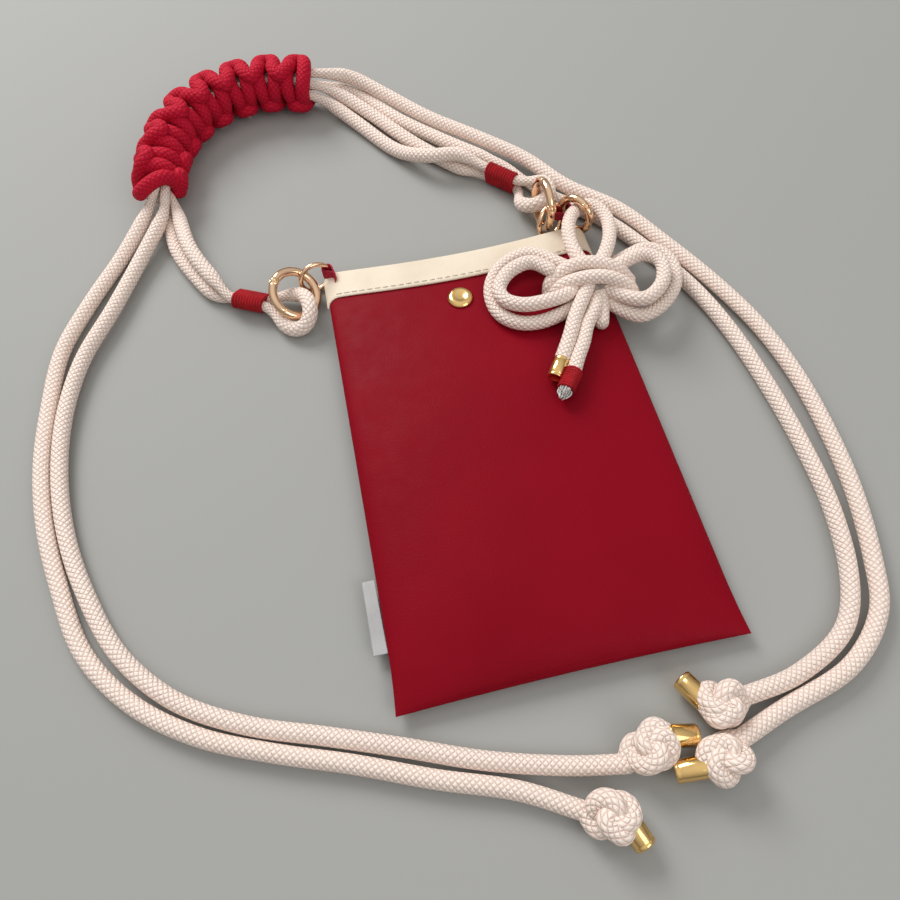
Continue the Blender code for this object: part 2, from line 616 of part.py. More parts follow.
def arc_tube(name, centre, normal, radius, wire, start, stop, step, resolution=2):
    n = max(2, int(round(abs(stop - start) / step)))
    angles = [start + (stop - start) * i / n for i in range(n + 1)]
    pts = [ring_point(centre, normal, radius, a) for a in angles]
    return tube_data(name, pts, [wire] * len(pts), resolution)


def build_gate_ring(side):
    """Ring with a sprung gate: fork and pin at the hinge, slanted joint at the free end."""
    centre, normal, radius, wire, hinge, free = RING_SPECS[side]
    ex, ey, n = ring_axes(normal)
    turn = 1.0 if free > hinge else -1.0
    per_mm = math.degrees(1.0 / radius)
    pivot = ring_point(centre, normal, radius, hinge)
    end = ring_point(centre, normal, radius, free)
    chord = (end - pivot).normalized()
    knuckle = 1.4
    gate_start = 2.9
    over = 2.6
    ring_curve = arc_tube(
        side + "_gate_ring", centre, normal, radius, wire,
        hinge + turn * knuckle * per_mm, free - turn * over * per_mm - turn * 360.0, 9.0, 2,
    )
    ring = add_part(side + "_gate_ring", solid_of(ring_curve), "rose_metal")
    gate_curve = arc_tube(
        side + "_gate", centre, normal, radius, wire,
        hinge + turn * gate_start * per_mm, free + turn * over * per_mm, 9.0, 2,
    )
    gate = add_part(side + "_gate", solid_of(gate_curve), "rose_metal")
    slot_place = frame_matrix(pivot, n, chord)
    slot = cylinder_mesh(side + "_cut_slot", 3.4, 1.5, slot_place, 20)
    boolean(ring, add_cutter(side + "_cut_slot", slot))
    inward = (Vector(centre) - pivot).normalized()
    along = n.cross(inward) * turn * -1.0
    if along.dot(chord) < 0:
        along = -along
    tongue_mid = pivot + along * 1.2 + inward * 0.25
    tongue_place = frame_matrix(tongue_mid, n, (pivot + along * 3.1 + inward * 0.7) - pivot)
    tongue = box_mesh(side + "_tongue", (5.4, 2.2, 0.9), tongue_place)
    boolean(gate, add_cutter(side + "_tongue", tongue), "UNION")
    hole = cylinder_mesh(side + "_cut_pin_hole", 0.62, 8.0, slot_place, 12)
    hole_cutter = add_cutter(side + "_cut_pin_hole", hole)
    boolean(ring, hole_cutter)
    boolean(gate, hole_cutter)
    gap = GATE_SWING_GAP
    size = 5.0
    outer = frame_matrix(end + chord * (size / 2 - gap / 2), chord, n)
    inner = frame_matrix(end - chord * (size / 2 - gap / 2), chord, n)
    gate_cut = box_mesh(side + "_cut_gate_end", (7.0, 9.5, size), outer)
    boolean(gate, add_cutter(side + "_cut_gate_end", gate_cut))
    ring_cut = box_mesh(side + "_cut_ring_end", (7.0, 9.5, size), inner)
    boolean(ring, add_cutter(side + "_cut_ring_end", ring_cut))
    pin = cylinder_mesh(side + "_gate_pin", 0.35, 2 * wire - 0.3, slot_place, 12)
    add_part(side + "_gate_pin", pin, "rose_metal")
    return pivot, n


# Webbing loops: sleeve middle, axis, bore and outer radius, length; then the strap
TABS = {
    "left": {
        "sleeve": ((-51.75, 88.4, 7.4), (-0.05, 0.17, 0.98), 1.72, 2.5, 6.0),
        "strap": (((-51.0, 87.4, 5.0), (-47.6, 82.6, 4.5), 4.6), ((-49.0, 84.6, 4.5), (-46.4, 80.9, 4.5), 4.6)),
    },
    "right": {
        "sleeve": ((48.0, 96.4, 7.4), (-0.2, 0.35, 0.915), 3.7, 4.4, 3.6),
        "strap": (((48.7, 95.0, 7.9), (49.4, 88.0, 4.7), 3.6), ((49.35, 88.6, 4.7), (49.5, 81.5, 4.5), 3.6)),
    },
}


def strip_mesh(name, start, end, width, thick, grow=0.0):
    """Flat strip between two places, its width level."""
    a = Vector(start)
    b = Vector(end)
    d = (b - a).normalized()
    level = Vector((-d.y, d.x, 0.0)).normalized()
    place = frame_matrix((a + b) * 0.5, d.cross(level), d)
    return box_mesh(name, ((b - a).length + grow, width + grow, thick + grow), place)


def build_tab(side, neighbours):
    """Webbing loop: a sleeve round the thin ring and a strap into the mouth corner."""
    centre, normal, radius, wire = TAB_RINGS[side]
    pts = [ring_point(centre, normal, radius, 360.0 * i / 36) for i in range(36)]
    curve = tube_data(side + "_tab_ring", pts, [wire] * len(pts), 2, True)
    add_part(side + "_tab_ring", curve, "rose_metal")
    middle, axis, bore, outer, length = TABS[side]["sleeve"]
    place = frame_matrix(middle, axis)
    tab = add_part(side + "_tab", cylinder_mesh(side + "_tab", outer, length, place, 16), "webbing")
    room = add_cutter(side + "_cut_tab_room", cylinder_mesh(side + "_cut_tab_room", outer + 0.4, length + 9.0, place, 16))
    for obj in neighbours:
        boolean(obj, room)
    for index, (start, end, width) in enumerate(TABS[side]["strap"]):
        label = side + "_tab_strap_" + str(index)
        boolean(tab, add_cutter(label, strip_mesh(label, start, end, width, TAB_THICKNESS)), "UNION")
        label = side + "_cut_strap_room_" + str(index)
        cutter = add_cutter(label, strip_mesh(label, start, end, width, TAB_THICKNESS, 0.6))
        for obj in neighbours:
            boolean(obj, cutter)
    hole = cylinder_mesh(side + "_cut_tab_bore", bore, length + 6.0, place, 16)
    boolean(tab, add_cutter(side + "_cut_tab_bore", hole))


def braid_frames():
    line = dense(BRAID_LINE, 0.5)
    line = soften(line, 6)
    s = lengths(line)
    tangent = np.gradient(line, s, axis=0)
    tangent /= np.linalg.norm(tangent, axis=1)[:, None]
    up = np.array((0.0, 0.0, 1.0))
    out = np.cross(tangent, up)
    out /= np.linalg.norm(out, axis=1)[:, None]
    lift = np.cross(out, tangent)
    part = s / s[-1]
    ease = np.clip((part - 0.5) / 0.5, 0, 1)
    ease = ease * ease * (3 - 2 * ease)
    tau = np.radians(78.0 + (25.0 - 78.0) * ease)[:, None]
    v_axis = np.cos(tau) * out + np.sin(tau) * lift
    w_axis = -np.sin(tau) * out + np.cos(tau) * lift
    return line, s, v_axis, w_axis


def along_braid(x, v, w):
    line, s, v_axis, w_axis = braid_frames()
    x = np.asarray(x, float)
    inside = np.clip(x, 0, s[-1])
    base = np.stack([np.interp(inside, s, line[:, k]) for k in range(3)], axis=1)
    va = np.stack([np.interp(inside, s, v_axis[:, k]) for k in range(3)], axis=1)
    wa = np.stack([np.interp(inside, s, w_axis[:, k]) for k in range(3)], axis=1)
    return base + va * np.asarray(v)[:, None] + wa * np.asarray(w)[:, None]


def build_braid():
    """Alternating half knots of two working ends round four core cords."""
    line, s, va, wa = braid_frames()
    pitch = (s[-1] - 3.0) / BRAID_TURNS
    for name, sign, first in (("grip_braid_a", 1.0, 0.12), ("grip_braid_b", -1.0, 0.4)):
        t = np.linspace(first, BRAID_TURNS - first, BRAID_TURNS * 60)
        x = 1.5 + pitch * (t - 0.491 * np.sin(2 * np.pi * t) + 0.024 * np.sin(4 * np.pi * t))
        v = BRAID_V * (np.sin(np.pi * t) + 0.179 * np.sin(3 * np.pi * t) - 0.045 * np.sin(5 * np.pi * t))
        w = BRAID_H * (np.cos(2 * np.pi * t) + 0.022 * np.cos(4 * np.pi * t)) - 0.137
        path = along_braid(x, sign * v, sign * w)
        path = even(path, 0.5)
        radii = np.full(len(path), BRAID_CORD_D / 2)
        pts, rad = thin_out(path, radii, 2.3, 5.0, 0.62)
        cord(name, pts, rad, "braid", 1)


def wrap_frame(wrap):
    a, b, roll = wrap
    a = Vector(a)
    b = Vector(b)
    axis = (b - a).normalized()
    side = axis.cross(Vector((0, 0, 1))).normalized()
    up = side.cross(axis)
    r = math.radians(roll)
    major = side * math.cos(r) + up * math.sin(r)
    return a, b, axis, major


def build_wrap(name, wrap):
    a, b, axis, major = wrap_frame(wrap)
    length = (b - a).length
    place = frame_matrix((a + b) * 0.5, axis, major)

    def stadium(label, radius, reach, depth):
        bm = bmesh.new()
        bmesh.ops.create_cone(bm, cap_ends=True, segments=20, radius1=radius, radius2=radius, depth=depth)
        for v in bm.verts:
            v.co.x += math.copysign(reach, v.co.x) if abs(v.co.x) > 0.01 else 0.0
        bmesh.ops.transform(bm, matrix=place, verts=bm.verts)
        return mesh_of(bm, label)

    obj = add_part(name, stadium(name, 3.25, 2.1, length - 0.8), "wrap")
    inner = stadium(name + "_cut", 2.55, CORE_OFFSET, length + 6.0)
    boolean(obj, add_cutter(name + "_cut", inner))


def ellipsoid(centre, axis, long, across, high):
    """Frame and half sizes of a lump."""
    return frame_matrix(centre, (0, 0, 1), axis), (long, across, high)


def inside_measure(pts, lump):
    mat, half = lump
    inv = np.array(mat.inverted())
    loc = (inv[:3, :3] @ np.asarray(pts).T).T + inv[:3, 3]
    return np.linalg.norm(loc / np.array(half), axis=1)


def lump_mesh(name, lump, segments=12, rings=8):
    mat, half = lump
    bm = bmesh.new()
    bmesh.ops.create_uvsphere(bm, u_segments=segments, v_segments=rings, radius=1.0)
    bmesh.ops.scale(bm, vec=half, verts=bm.verts)
    bmesh.ops.transform(bm, matrix=mat, verts=bm.verts)
    return mesh_of(bm, name)


KNOTS = {
    "left_outer": ((-1.9, -128.3, 7.6), (7.2, 5.4), (2.3, -130.8, 7.0), (5.3, -138.1, 5.0)),
    "left_inner": ((15.0, -113.4, 7.6), (7.2, 5.4), (20.8, -111.2, 8.0), (29.5, -112.6, 5.0)),
    "right_outer": ((35.3, -120.9, 7.6), (7.2, 5.4), (28.7, -121.8, 7.0), (20.1, -121.1, 5.0)),
    "right_inner": ((39.9, -105.7, 7.6), (7.2, 5.4), (34.9, -103.5, 7.0), (31.1, -95.7, 5.0)),
}
CAP_D = 7.0
CAP_LENGTH = 10.0


def knot_lump(key, tangent):
    centre, size, cap_a, cap_b = KNOTS[key]
    axis = Vector((tangent[0], tangent[1], 0.0)).normalized()
    return ellipsoid(centre, axis, size[0], size[1] + 1.0, 6.4)


def build_knot(key, lump):
    """Overhand knot as one lump, with the gold end cup let into it."""
    centre, size, cap_a, cap_b = KNOTS[key]
    name = key + "_knot"
    obj = add_part(name, lump_mesh(name, lump), "cord")
    tip = Vector(cap_b)
    axis = (tip - Vector(cap_a)).normalized()
    start = tip - axis * CAP_LENGTH
    r = CAP_D / 2
    profile = [
        (0.0, 0.0), (r - 0.5, 0.0), (r - 0.1, 0.4), (r - 0.1, CAP_LENGTH - 1.2),
        (r, CAP_LENGTH - 1.0), (r, CAP_LENGTH - 0.3), (r - 0.3, CAP_LENGTH), (0.0, CAP_LENGTH),
    ]
    place = frame_matrix(start, axis, (0, 0, 1))
    cap_name = key + "_end_cup"
    add_part(cap_name, lathe_mesh(cap_name, profile, place, 16), "gold_metal")
    hole_place = frame_matrix(start + axis * (CAP_LENGTH / 2 + 2.0), axis, (0, 0, 1))
    hole = cylinder_mesh(name + "_cut", r + 0.35, CAP_LENGTH + 4.6, hole_place, 16)
    boolean(obj, add_cutter(name + "_cut", hole))


def radius_profile(pts, zones):
    """Cord radius along a path: smaller inside the braid and the wraps."""
    full = CORD_D / 2
    rad = np.full(len(pts), full)
    for centre_pts, small, margin, ramp in zones:
        z = np.array(centre_pts)
        d = np.sqrt(((pts[:, None, :] - z[None, :, :]) ** 2).sum(axis=2)).min(axis=1)
        k = np.clip((d - margin) / ramp, 0, 1)
        rad = np.minimum(rad, full * (small + (1 - small) * k))
    return rad


def build_strap():
    centre_line = braid_frames()[0][::4]
    wraps = np.array([
        np.array(Vector(w[0]).lerp(Vector(w[1]), k)) for w in (LEFT_WRAP, RIGHT_WRAP) for k in np.linspace(0, 1, 12)
    ])
    zones = [(centre_line, CORE_FACTOR, 7.0, 9.0), (wraps, CORE_FACTOR, 6.5, 6.0)]
    for name, head, tail in (
        ("strap_cord_a", "left_outer", "left_inner"), ("strap_cord_b", "right_outer", "right_inner"),
    ):
        pts = np.array(CORD_POINTS[name])
        cord(name, pts, radius_profile(pts, zones), "cord", 2)
        for key, run in ((head, pts[1] - pts[0]), (tail, pts[-1] - pts[-2])):
            build_knot(key, knot_lump(key, run))


BOW_CENTRE = (46.5, 53.0, 14.5)
BOW_BANDS = {
    "bow_band_upper": [
        (30.2, 53.9, 12), (31.7, 56.2, 16), (40, 58, 20), (48.6, 56.4, 21), (56.1, 53.4, 19), (60.7, 50.6, 14),
    ],
    "bow_band_lower": [
        (30.7, 51.6, 12), (35.1, 52.3, 17), (43.6, 50.9, 20.5), (51.5, 48.9, 20.5), (58.6, 45.8, 17),
        (60.5, 44.1, 13),
    ],
}

def tail_end(pts, reach):
    """Point and direction a little before the end of a route."""
    a = np.array(pts[-2], float)
    b = np.array(pts[-1], float)
    d = (b - a) / np.linalg.norm(b - a)
    return b + d * reach, d


def build_bow():
    lump = ellipsoid(BOW_CENTRE, (0.95, -0.3, 0), 13.0, 9.0, 6.2)
    knot = add_part("bow_knot", lump_mesh("bow_knot", lump, 16, 10), "cord")
    r = BOW_CORD_D / 2
    room = lump_mesh("bow_cut_room", ellipsoid(BOW_CENTRE, (0.95, -0.3, 0), 15.2, 9.6, 8.8), 16, 10)
    rooms = [add_cutter("bow_cut_room", room)]
    for name, points in BOW_BANDS.items():
        path = soften(dense(route(points), 0.5), 3)
        keep, rad = thin_out(path, np.full(len(path), r), 3.0, 6.0, 0.6)
        solid = solid_of(tube_data(name, keep, rad, 2))
        boolean(knot, add_cutter(name, solid), "UNION")
        solid = solid_of(tube_data(name + "_room", keep, rad + 0.3, 2))
        rooms.append(add_cutter(name + "_room", solid))
    for name, points in CORD_POINTS.items():
        if name.startswith("bow_"):
            cut_cord(name, points, [r] * len(points), "cord", rooms)
    start, d = tail_end(CORD_POINTS["bow_left_tail"], 0.35)
    place = frame_matrix(start, d, (0, 0, 1))
    profile = [(0.0, 0.0), (2.7, 0.0), (2.9, 0.3), (2.9, 6.2), (2.4, 6.8), (0.0, 6.8)]
    add_part("bow_ferrule", lathe_mesh("bow_ferrule", profile, place, 14), "gold_metal")
    start, d = tail_end(CORD_POINTS["bow_right_tail"], 0.35)
    place = frame_matrix(start, d, (0, 0, 1))
    profile = [(0.0, 0.0), (2.6, 0.0), (2.8, 0.4), (2.8, 4.6), (2.5, 5.0), (0.0, 5.0)]
    add_part("bow_tail_wrap", lathe_mesh("bow_tail_wrap", profile, place, 14), "wrap")
    place = frame_matrix(start + d * 5.35, d, (0, 0, 1))
    profile = [(0.0, 0.0), (2.0, 0.0), (2.4, 1.6), (2.8, 4.0), (2.2, 5.8), (0.0, 6.2)]
    add_part("bow_tail_tip", lathe_mesh("bow_tail_tip", profile, place, 12), "white_tip")


def main():
    front, back, low_cut, high_cut = build_panels()
    front_bind, back_bind = build_bindings(low_cut, high_cut)
    build_snap(front, back)
    build_label()
    for side in ("left", "right", "charm"):
        build_gate_ring(side)
    for side in ("left", "right"):
        build_tab(side, (front, back, front_bind, back_bind))
    build_wrap("left_wrap", LEFT_WRAP)
    build_wrap("right_wrap", RIGHT_WRAP)
    build_braid()
    build_strap()
    build_bow()


clear_scene()
ROOT = bpy.data.objects.new("pouch_root", None)
collection(COLLECTION).objects.link(ROOT)
main()
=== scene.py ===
# %% [markdown]
# # A crossbody pouch with a knotted cord strap
#
# The object is a flat leather pouch for a phone, lying on its back. Its strap is two doubled cream cords,
# tied into a red braided grip. Each cord ends in an overhand knot and a gold cup, and a cord bow hangs on
# one of three sprung rings. The solids of the part come in first and stay put. Every visible piece here is
# a surface worked out with numpy in the same frame, in metres, and stands for the solid that it names.

import math

import bpy
import numpy as np
from mathutils import Matrix


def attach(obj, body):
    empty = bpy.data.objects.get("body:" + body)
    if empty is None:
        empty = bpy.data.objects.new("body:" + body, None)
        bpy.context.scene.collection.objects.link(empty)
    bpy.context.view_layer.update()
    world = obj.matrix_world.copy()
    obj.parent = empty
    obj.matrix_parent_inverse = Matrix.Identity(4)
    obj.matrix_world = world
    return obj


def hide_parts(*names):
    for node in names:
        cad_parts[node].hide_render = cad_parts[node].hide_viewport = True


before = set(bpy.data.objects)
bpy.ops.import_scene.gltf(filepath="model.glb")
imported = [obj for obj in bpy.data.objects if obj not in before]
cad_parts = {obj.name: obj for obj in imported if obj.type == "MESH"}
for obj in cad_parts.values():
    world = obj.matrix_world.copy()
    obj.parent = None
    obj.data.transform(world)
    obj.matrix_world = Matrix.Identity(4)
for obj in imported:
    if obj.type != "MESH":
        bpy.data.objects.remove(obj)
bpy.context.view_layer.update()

# %% [markdown]
# ## Camera
#
# The photograph looks down at the pouch at 63 degrees, slightly turned and tilted. Position and axes were
# solved from the cord's size and the pouch's outline. The columns below are the camera's right, up and
# back. A fixed matrix is the surest way to keep this view, because it needs no target and no constraint.

# %% Camera at the photograph's angle
CAMERA_PLACE = (-0.04405, -0.13527, 0.26970)
CAMERA_AXES = ((0.97538, 0.20700, -0.07609), (-0.21878, 0.86461, -0.45231), (-0.02784, 0.45782, 0.88861))
LENS_MM = 33.2

camera_data = bpy.data.cameras.new("photo_camera")
camera_data.lens = LENS_MM
camera_data.sensor_width = 36.0
camera_data.clip_start = 0.01
camera = bpy.data.objects.new("photo_camera", camera_data)
bpy.context.scene.collection.objects.link(camera)
rows = [list(CAMERA_AXES[i]) + [CAMERA_PLACE[i]] for i in range(3)]
camera.matrix_world = Matrix(rows + [[0, 0, 0, 1]])
bpy.context.scene.camera = camera
bpy.context.scene.view_settings.view_transform = "Standard"
print("camera", CAMERA_PLACE)

# %% [markdown]
# ## Shapes from arrays
#
# A grid of points is the one kind of shape used here. A function of two parameters gives the points, and
# the quads between neighbours follow from the grid's own numbering. Where the grid closes on itself the
# last column meets the first. A pole closes an end with a fan. The sign of the volume says which way the
# faces point, so a shape that came out inside out is turned before it becomes a mesh.

# %% Grids of points and the meshes they make
MM = 0.001
UP = (0.0, 0.0, 1.0)


def scaled(points):
    """Millimetres to metres."""
    return np.asarray(points, float) * MM


def normal_rows(v):
    """Each row divided by its own length."""
    return v / np.maximum(np.linalg.norm(v, axis=-1, keepdims=True), 1e-12)


def grid_shape(grid, around=True, loop=False, poles=(True, True), uv=None):
    """Points, faces and UVs of a grid: around joins its columns, loop its rows, poles fan its ends shut."""
    n_rows, n_columns = grid.shape[:2]
    points = grid.reshape(-1, 3)
    number = np.arange(n_rows * n_columns).reshape(n_rows, n_columns)
    if uv is None:
        across, along = np.meshgrid(np.linspace(0, 1, n_columns + around), np.linspace(0, 1, n_rows + loop))
        uv = np.stack([along, across], axis=-1)
    if around:
        number = np.hstack([number, number[:, :1]])
    if loop:
        number = np.vstack([number, number[:1]])

    def corners(a):
        return np.stack([a[:-1, :-1], a[:-1, 1:], a[1:, 1:], a[1:, :-1]], axis=2)

    quads = corners(number).reshape(-1, 4)
    quad_uv = corners(uv).reshape(-1, 4, 2)
    fans, fan_uv = [], []
    for end, wanted in ((0, poles[0]), (-1, poles[1])):
        if wanted:
            pole = len(points)
            points = np.vstack([points, grid[end].mean(axis=0)])
            rim, rim_uv = number[end], uv[end]
            first, second = (rim[1:], rim[:-1]) if end == 0 else (rim[:-1], rim[1:])
            first_uv, second_uv = (rim_uv[1:], rim_uv[:-1]) if end == 0 else (rim_uv[:-1], rim_uv[1:])
            fans.append(np.stack([first, second, np.full(len(first), pole)], axis=1))
            fan_uv.append(np.stack([first_uv, second_uv, 0.5 * (first_uv + second_uv)], axis=1))
    triangles = np.vstack(fans) if fans else np.zeros((0, 3), int)
    triangle_uv = np.vstack(fan_uv) if fan_uv else np.zeros((0, 3, 2))
    return points, quads, triangles, quad_uv, triangle_uv


def enclosed(points, quads, triangles):
    """Volume inside the faces: a sixth of the sum of the triple products of their corners."""
    halves = np.vstack([quads[:, :3], quads[:, [0, 2, 3]], triangles])
    a, b, c = (points[halves[:, k]] for k in range(3))
    return np.einsum("ij,ij->i", a, np.cross(b, c)).sum() / 6.0


def piece(name, shapes, material, nodes=(), body="pouch", smooth=True):
    """One object from several grid shapes, riding on a body and standing for its solids."""
    all_points, all_faces, all_uv, start = [], [], [], 0
    for points, quads, triangles, quad_uv, triangle_uv in shapes:
        if enclosed(points, quads, triangles) < 0:
            quads, triangles = quads[:, ::-1], triangles[:, ::-1]
            quad_uv, triangle_uv = quad_uv[:, ::-1], triangle_uv[:, ::-1]
        all_points.append(points)
        all_faces += (quads + start).tolist() + (triangles + start).tolist()
        all_uv += [quad_uv.reshape(-1, 2), triangle_uv.reshape(-1, 2)]
        start += len(points)
    mesh = bpy.data.meshes.new(name)
    mesh.from_pydata(np.vstack(all_points).tolist(), [], all_faces)
    layer = mesh.uv_layers.new(name="surface")
    layer.data.foreach_set("uv", np.vstack(all_uv).ravel())
    mesh.polygons.foreach_set("use_smooth", [smooth] * len(mesh.polygons))
    mesh.materials.append(material)
    obj = bpy.data.objects.new(name, mesh)
    bpy.context.scene.collection.objects.link(obj)
    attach(obj, body)
    if nodes:
        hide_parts(*nodes)
    print(name, len(mesh.polygons), "faces")
    return obj


print("grid helpers ready")

# %% [markdown]
# ## Cords as tubes along a path
#
# A cord is a circle carried along its route. The circle must not spin on the way, or the braid pattern on
# it would twist. At each station any right angle to the path is taken first. The turn between neighbours
# is then measured all at once and its running sum taken away, which leaves frames that never spin. The
# ends are rounded with a few rings that shrink towards a pole.

# %% Frames, tubes and turned shapes


def stations(points, step):
    """Even stations on a smooth curve through the points, by the Catmull-Rom mix of four neighbours."""
    p = np.asarray(points, float)
    p = np.vstack([2 * p[0] - p[1], p, 2 * p[-1] - p[-2]])
    t = np.linspace(0, 1, 9)[:-1][None, :, None]
    a, b, c, d = p[:-3, None], p[1:-2, None], p[2:-1, None], p[3:, None]
    curve = 0.5 * (2 * b + (c - a) * t + (2 * a - 5 * b + 4 * c - d) * t**2 + (3 * b - 3 * c + d - a) * t**3)
    return even(np.vstack([curve.reshape(-1, 3), p[-2]]), step)


def travelled(path):
    """Distance from the start to each station."""
    return np.concatenate([[0.0], np.cumsum(np.linalg.norm(np.diff(path, axis=0), axis=1))])


def even(path, step):
    """The same line with stations one step apart."""
    s = travelled(path)
    at = np.linspace(0, s[-1], max(4, int(round(s[-1] / step)) + 1))
    return np.stack([np.interp(at, s, path[:, k]) for k in range(3)], axis=1)


def softened(path, times):
    """Each inner station moved to the mean of itself and its neighbours, some times over."""
    for _ in range(times):
        path = np.vstack([path[:1], (path[:-2] + 2 * path[1:-1] + path[2:]) / 4, path[-1:]])
    return path


def carried_frames(path):
    """Tangent, side and up along a path, turned as little as possible from one station to the next."""
    tangent = normal_rows(np.gradient(path, axis=0))
    helper = np.eye(3)[np.argmin(np.abs(tangent), axis=1)]
    side = normal_rows(helper - tangent * np.sum(helper * tangent, axis=1, keepdims=True))
    up = np.cross(tangent, side)
    axis = np.cross(tangent[:-1], tangent[1:])
    cosine = np.sum(tangent[:-1] * tangent[1:], axis=1, keepdims=True)
    held = side[:-1]
    kept = axis * np.sum(axis * held, axis=1, keepdims=True) / (1 + cosine)
    moved = held * cosine + np.cross(axis, held) + kept
    turn = np.arctan2(np.sum(moved * up[1:], axis=1), np.sum(moved * side[1:], axis=1))
    angle = np.concatenate([[0.0], np.cumsum(turn)])[:, None]
    return tangent, side * np.cos(angle) + up * np.sin(angle), up * np.cos(angle) - side * np.sin(angle)


DOME = np.sin(np.radians([88, 70, 50, 30, 14]))


def tube(path, radius, sides=24, dome=1.0):
    """A circle of the given radius carried along a path, with rounded ends."""
    tangent, side, up = carried_frames(path)
    radius = np.broadcast_to(np.asarray(radius, float), len(path))
    head = path[0] - tangent[0] * (DOME * radius[0] * dome)[:, None]
    tail = path[-1] + tangent[-1] * (DOME * radius[-1] * dome)[::-1, None]
    small = np.sqrt(1 - DOME**2)
    centre = np.vstack([head, path, tail])
    r = np.concatenate([radius[0] * small, radius, radius[-1] * small[::-1]])[:, None, None]
    n = len(DOME)
    side = np.vstack([np.repeat(side[:1], n, 0), side, np.repeat(side[-1:], n, 0)])[:, None]
    up = np.vstack([np.repeat(up[:1], n, 0), up, np.repeat(up[-1:], n, 0)])[:, None]
    a = (np.arange(sides) / sides * 2 * np.pi)[None, :, None]
    grid = centre[:, None] + r * (np.cos(a) * side + np.sin(a) * up)
    s = travelled(centre)
    uv = np.stack(np.meshgrid(s, np.linspace(0, 1, sides + 1), indexing="ij"), axis=-1)
    return grid_shape(grid, True, False, (True, True), uv)


def axes_of(direction):
    """Three unit axes as rows: two across and the direction last."""
    w = normal_rows(np.asarray(direction, float))
    upright = abs(w[2]) > 0.99
    u = normal_rows(np.cross((1.0, 0.0, 0.0) if upright else UP, w))
    return np.array((u, np.cross(w, u), w))


def turned(profile, origin, direction, sides=48):
    """A profile of (radius, height) turned round an axis, its two ends closed by poles."""
    axes = axes_of(direction)
    profile = scaled(profile)
    a = np.arange(sides) / sides * 2 * np.pi
    circle = np.cos(a)[:, None] * axes[0] + np.sin(a)[:, None] * axes[1]
    grid = profile[:, 0][:, None, None] * circle[None] + (profile[:, 1][:, None] * axes[2])[:, None]
    return grid_shape(grid + np.asarray(origin, float))


def ellipsoid(centre, axes, half, n_rows=24, sides=36):
    """Point = centre + half sizes times the sphere's (sin a cos b, sin a sin b, cos a) on the axes."""
    a = np.linspace(0.06, np.pi - 0.06, n_rows)[:, None]
    b = (np.arange(sides) / sides * 2 * np.pi)[None]
    ball = np.stack([np.sin(a) * np.cos(b), np.sin(a) * np.sin(b), np.cos(a) * np.ones_like(b)], axis=-1)
    return grid_shape(np.asarray(centre) + (ball * np.asarray(half)) @ np.asarray(axes))


print("tube helpers ready")

# %% [markdown]
# ## Finishes
#
# A finish is a small network of nodes. Cloth and cords read the piece's own UV map, where the first number
# is the distance along in metres and the second runs once round, so a weave follows the cord. Leather and
# metal read Object coordinates. Each number that is the same all over is set on the shader's own socket.

# %% A short way to write node networks


class Finish:
    """A material whose nodes are added in one line each."""

    def __init__(self, name, roughness=0.6, metallic=0.0, **sockets):
        self.material = bpy.data.materials.new(name)
        self.material.use_nodes = True
        self.nodes = self.material.node_tree.nodes
        self.links = self.material.node_tree.links
        self.shader = self.nodes["Principled BSDF"]
        self.shader.inputs["Roughness"].default_value = roughness
        self.shader.inputs["Metallic"].default_value = metallic
        for key, value in sockets.items():
            self.shader.inputs[key.replace("_", " ")].default_value = value

    def add(self, kind, output=0, settings=None, **sockets):
        """Add a node, link or set its sockets by name, and give back one output."""
        node = self.nodes.new(kind)
        for key, value in (settings or {}).items():
            setattr(node, key, value)
        for key, value in sockets.items():
            socket = node.inputs[int(key[1:])] if key[0] == "i" and key[1:].isdigit() else node.inputs[key]
            if isinstance(value, bpy.types.NodeSocket):
                self.links.new(value, socket)
            else:
                socket.default_value = value
        return node.outputs[output]

    def maths(self, operation, *values):
        inputs = {f"i{k}": value for k, value in enumerate(values)}
        return self.add("ShaderNodeMath", 0, {"operation": operation}, **inputs)

    def noise(self, vector, scale, detail=3.0):
        return self.add("ShaderNodeTexNoise", 0, None, Vector=vector, Scale=scale, Detail=detail)

    def ramp(self, factor, stops):
        """Colour by a factor from (position, colour) stops."""
        node = self.nodes.new("ShaderNodeValToRGB")
        self.links.new(factor, node.inputs[0])
        while len(node.color_ramp.elements) < len(stops):
            node.color_ramp.elements.new(0.5)
        for element, (position, colour) in zip(node.color_ramp.elements, stops):
            element.position = position
            element.color = (*colour, 1.0)
        return node.outputs[0]

    def colour(self, socket):
        self.links.new(socket, self.shader.inputs["Base Color"])

    def bump(self, height, depth, strength=1.0):
        """Relief of the given depth in metres."""
        normal = self.add("ShaderNodeBump", 0, None, Height=height, Distance=depth, Strength=strength)
        self.links.new(normal, self.shader.inputs["Normal"])

    def rough(self, factor, top, least, most):
        """Roughness from least to most as the factor goes from 0.3 to top."""
        node = self.add("ShaderNodeMapRange", 0, None, i0=factor, i1=0.3, i2=top, i3=least, i4=most)
        self.links.new(node, self.shader.inputs["Roughness"])

    def place(self):
        return self.add("ShaderNodeTexCoord", "Object")

    def surface_uv(self):
        """The UV map's two numbers: the distance along in metres, and once round or across."""
        uv = self.add("ShaderNodeUVMap", 0, {"uv_map": "surface"})
        node = self.nodes.new("ShaderNodeSeparateXYZ")
        self.links.new(uv, node.inputs[0])
        return node.outputs[0], node.outputs[1]


print("finish helper ready")

# %% [markdown]
# ## Braided cord
#
# The cream cord is a round braid: strands run both ways round it and pass over and under, so the surface
# is covered with small slanted diamonds in V rows. Two waves of opposite slant give the strands, and where
# both are low lies the gap between them, painted darker as shade. A third fine wave draws the yarns inside
# each strand, and their low lines are painted a little darker as shade too; a broad noise adds random tone.

# %% Cord, grip and thread finishes
SOFT_SHINE = 0.25
YARNS = 6


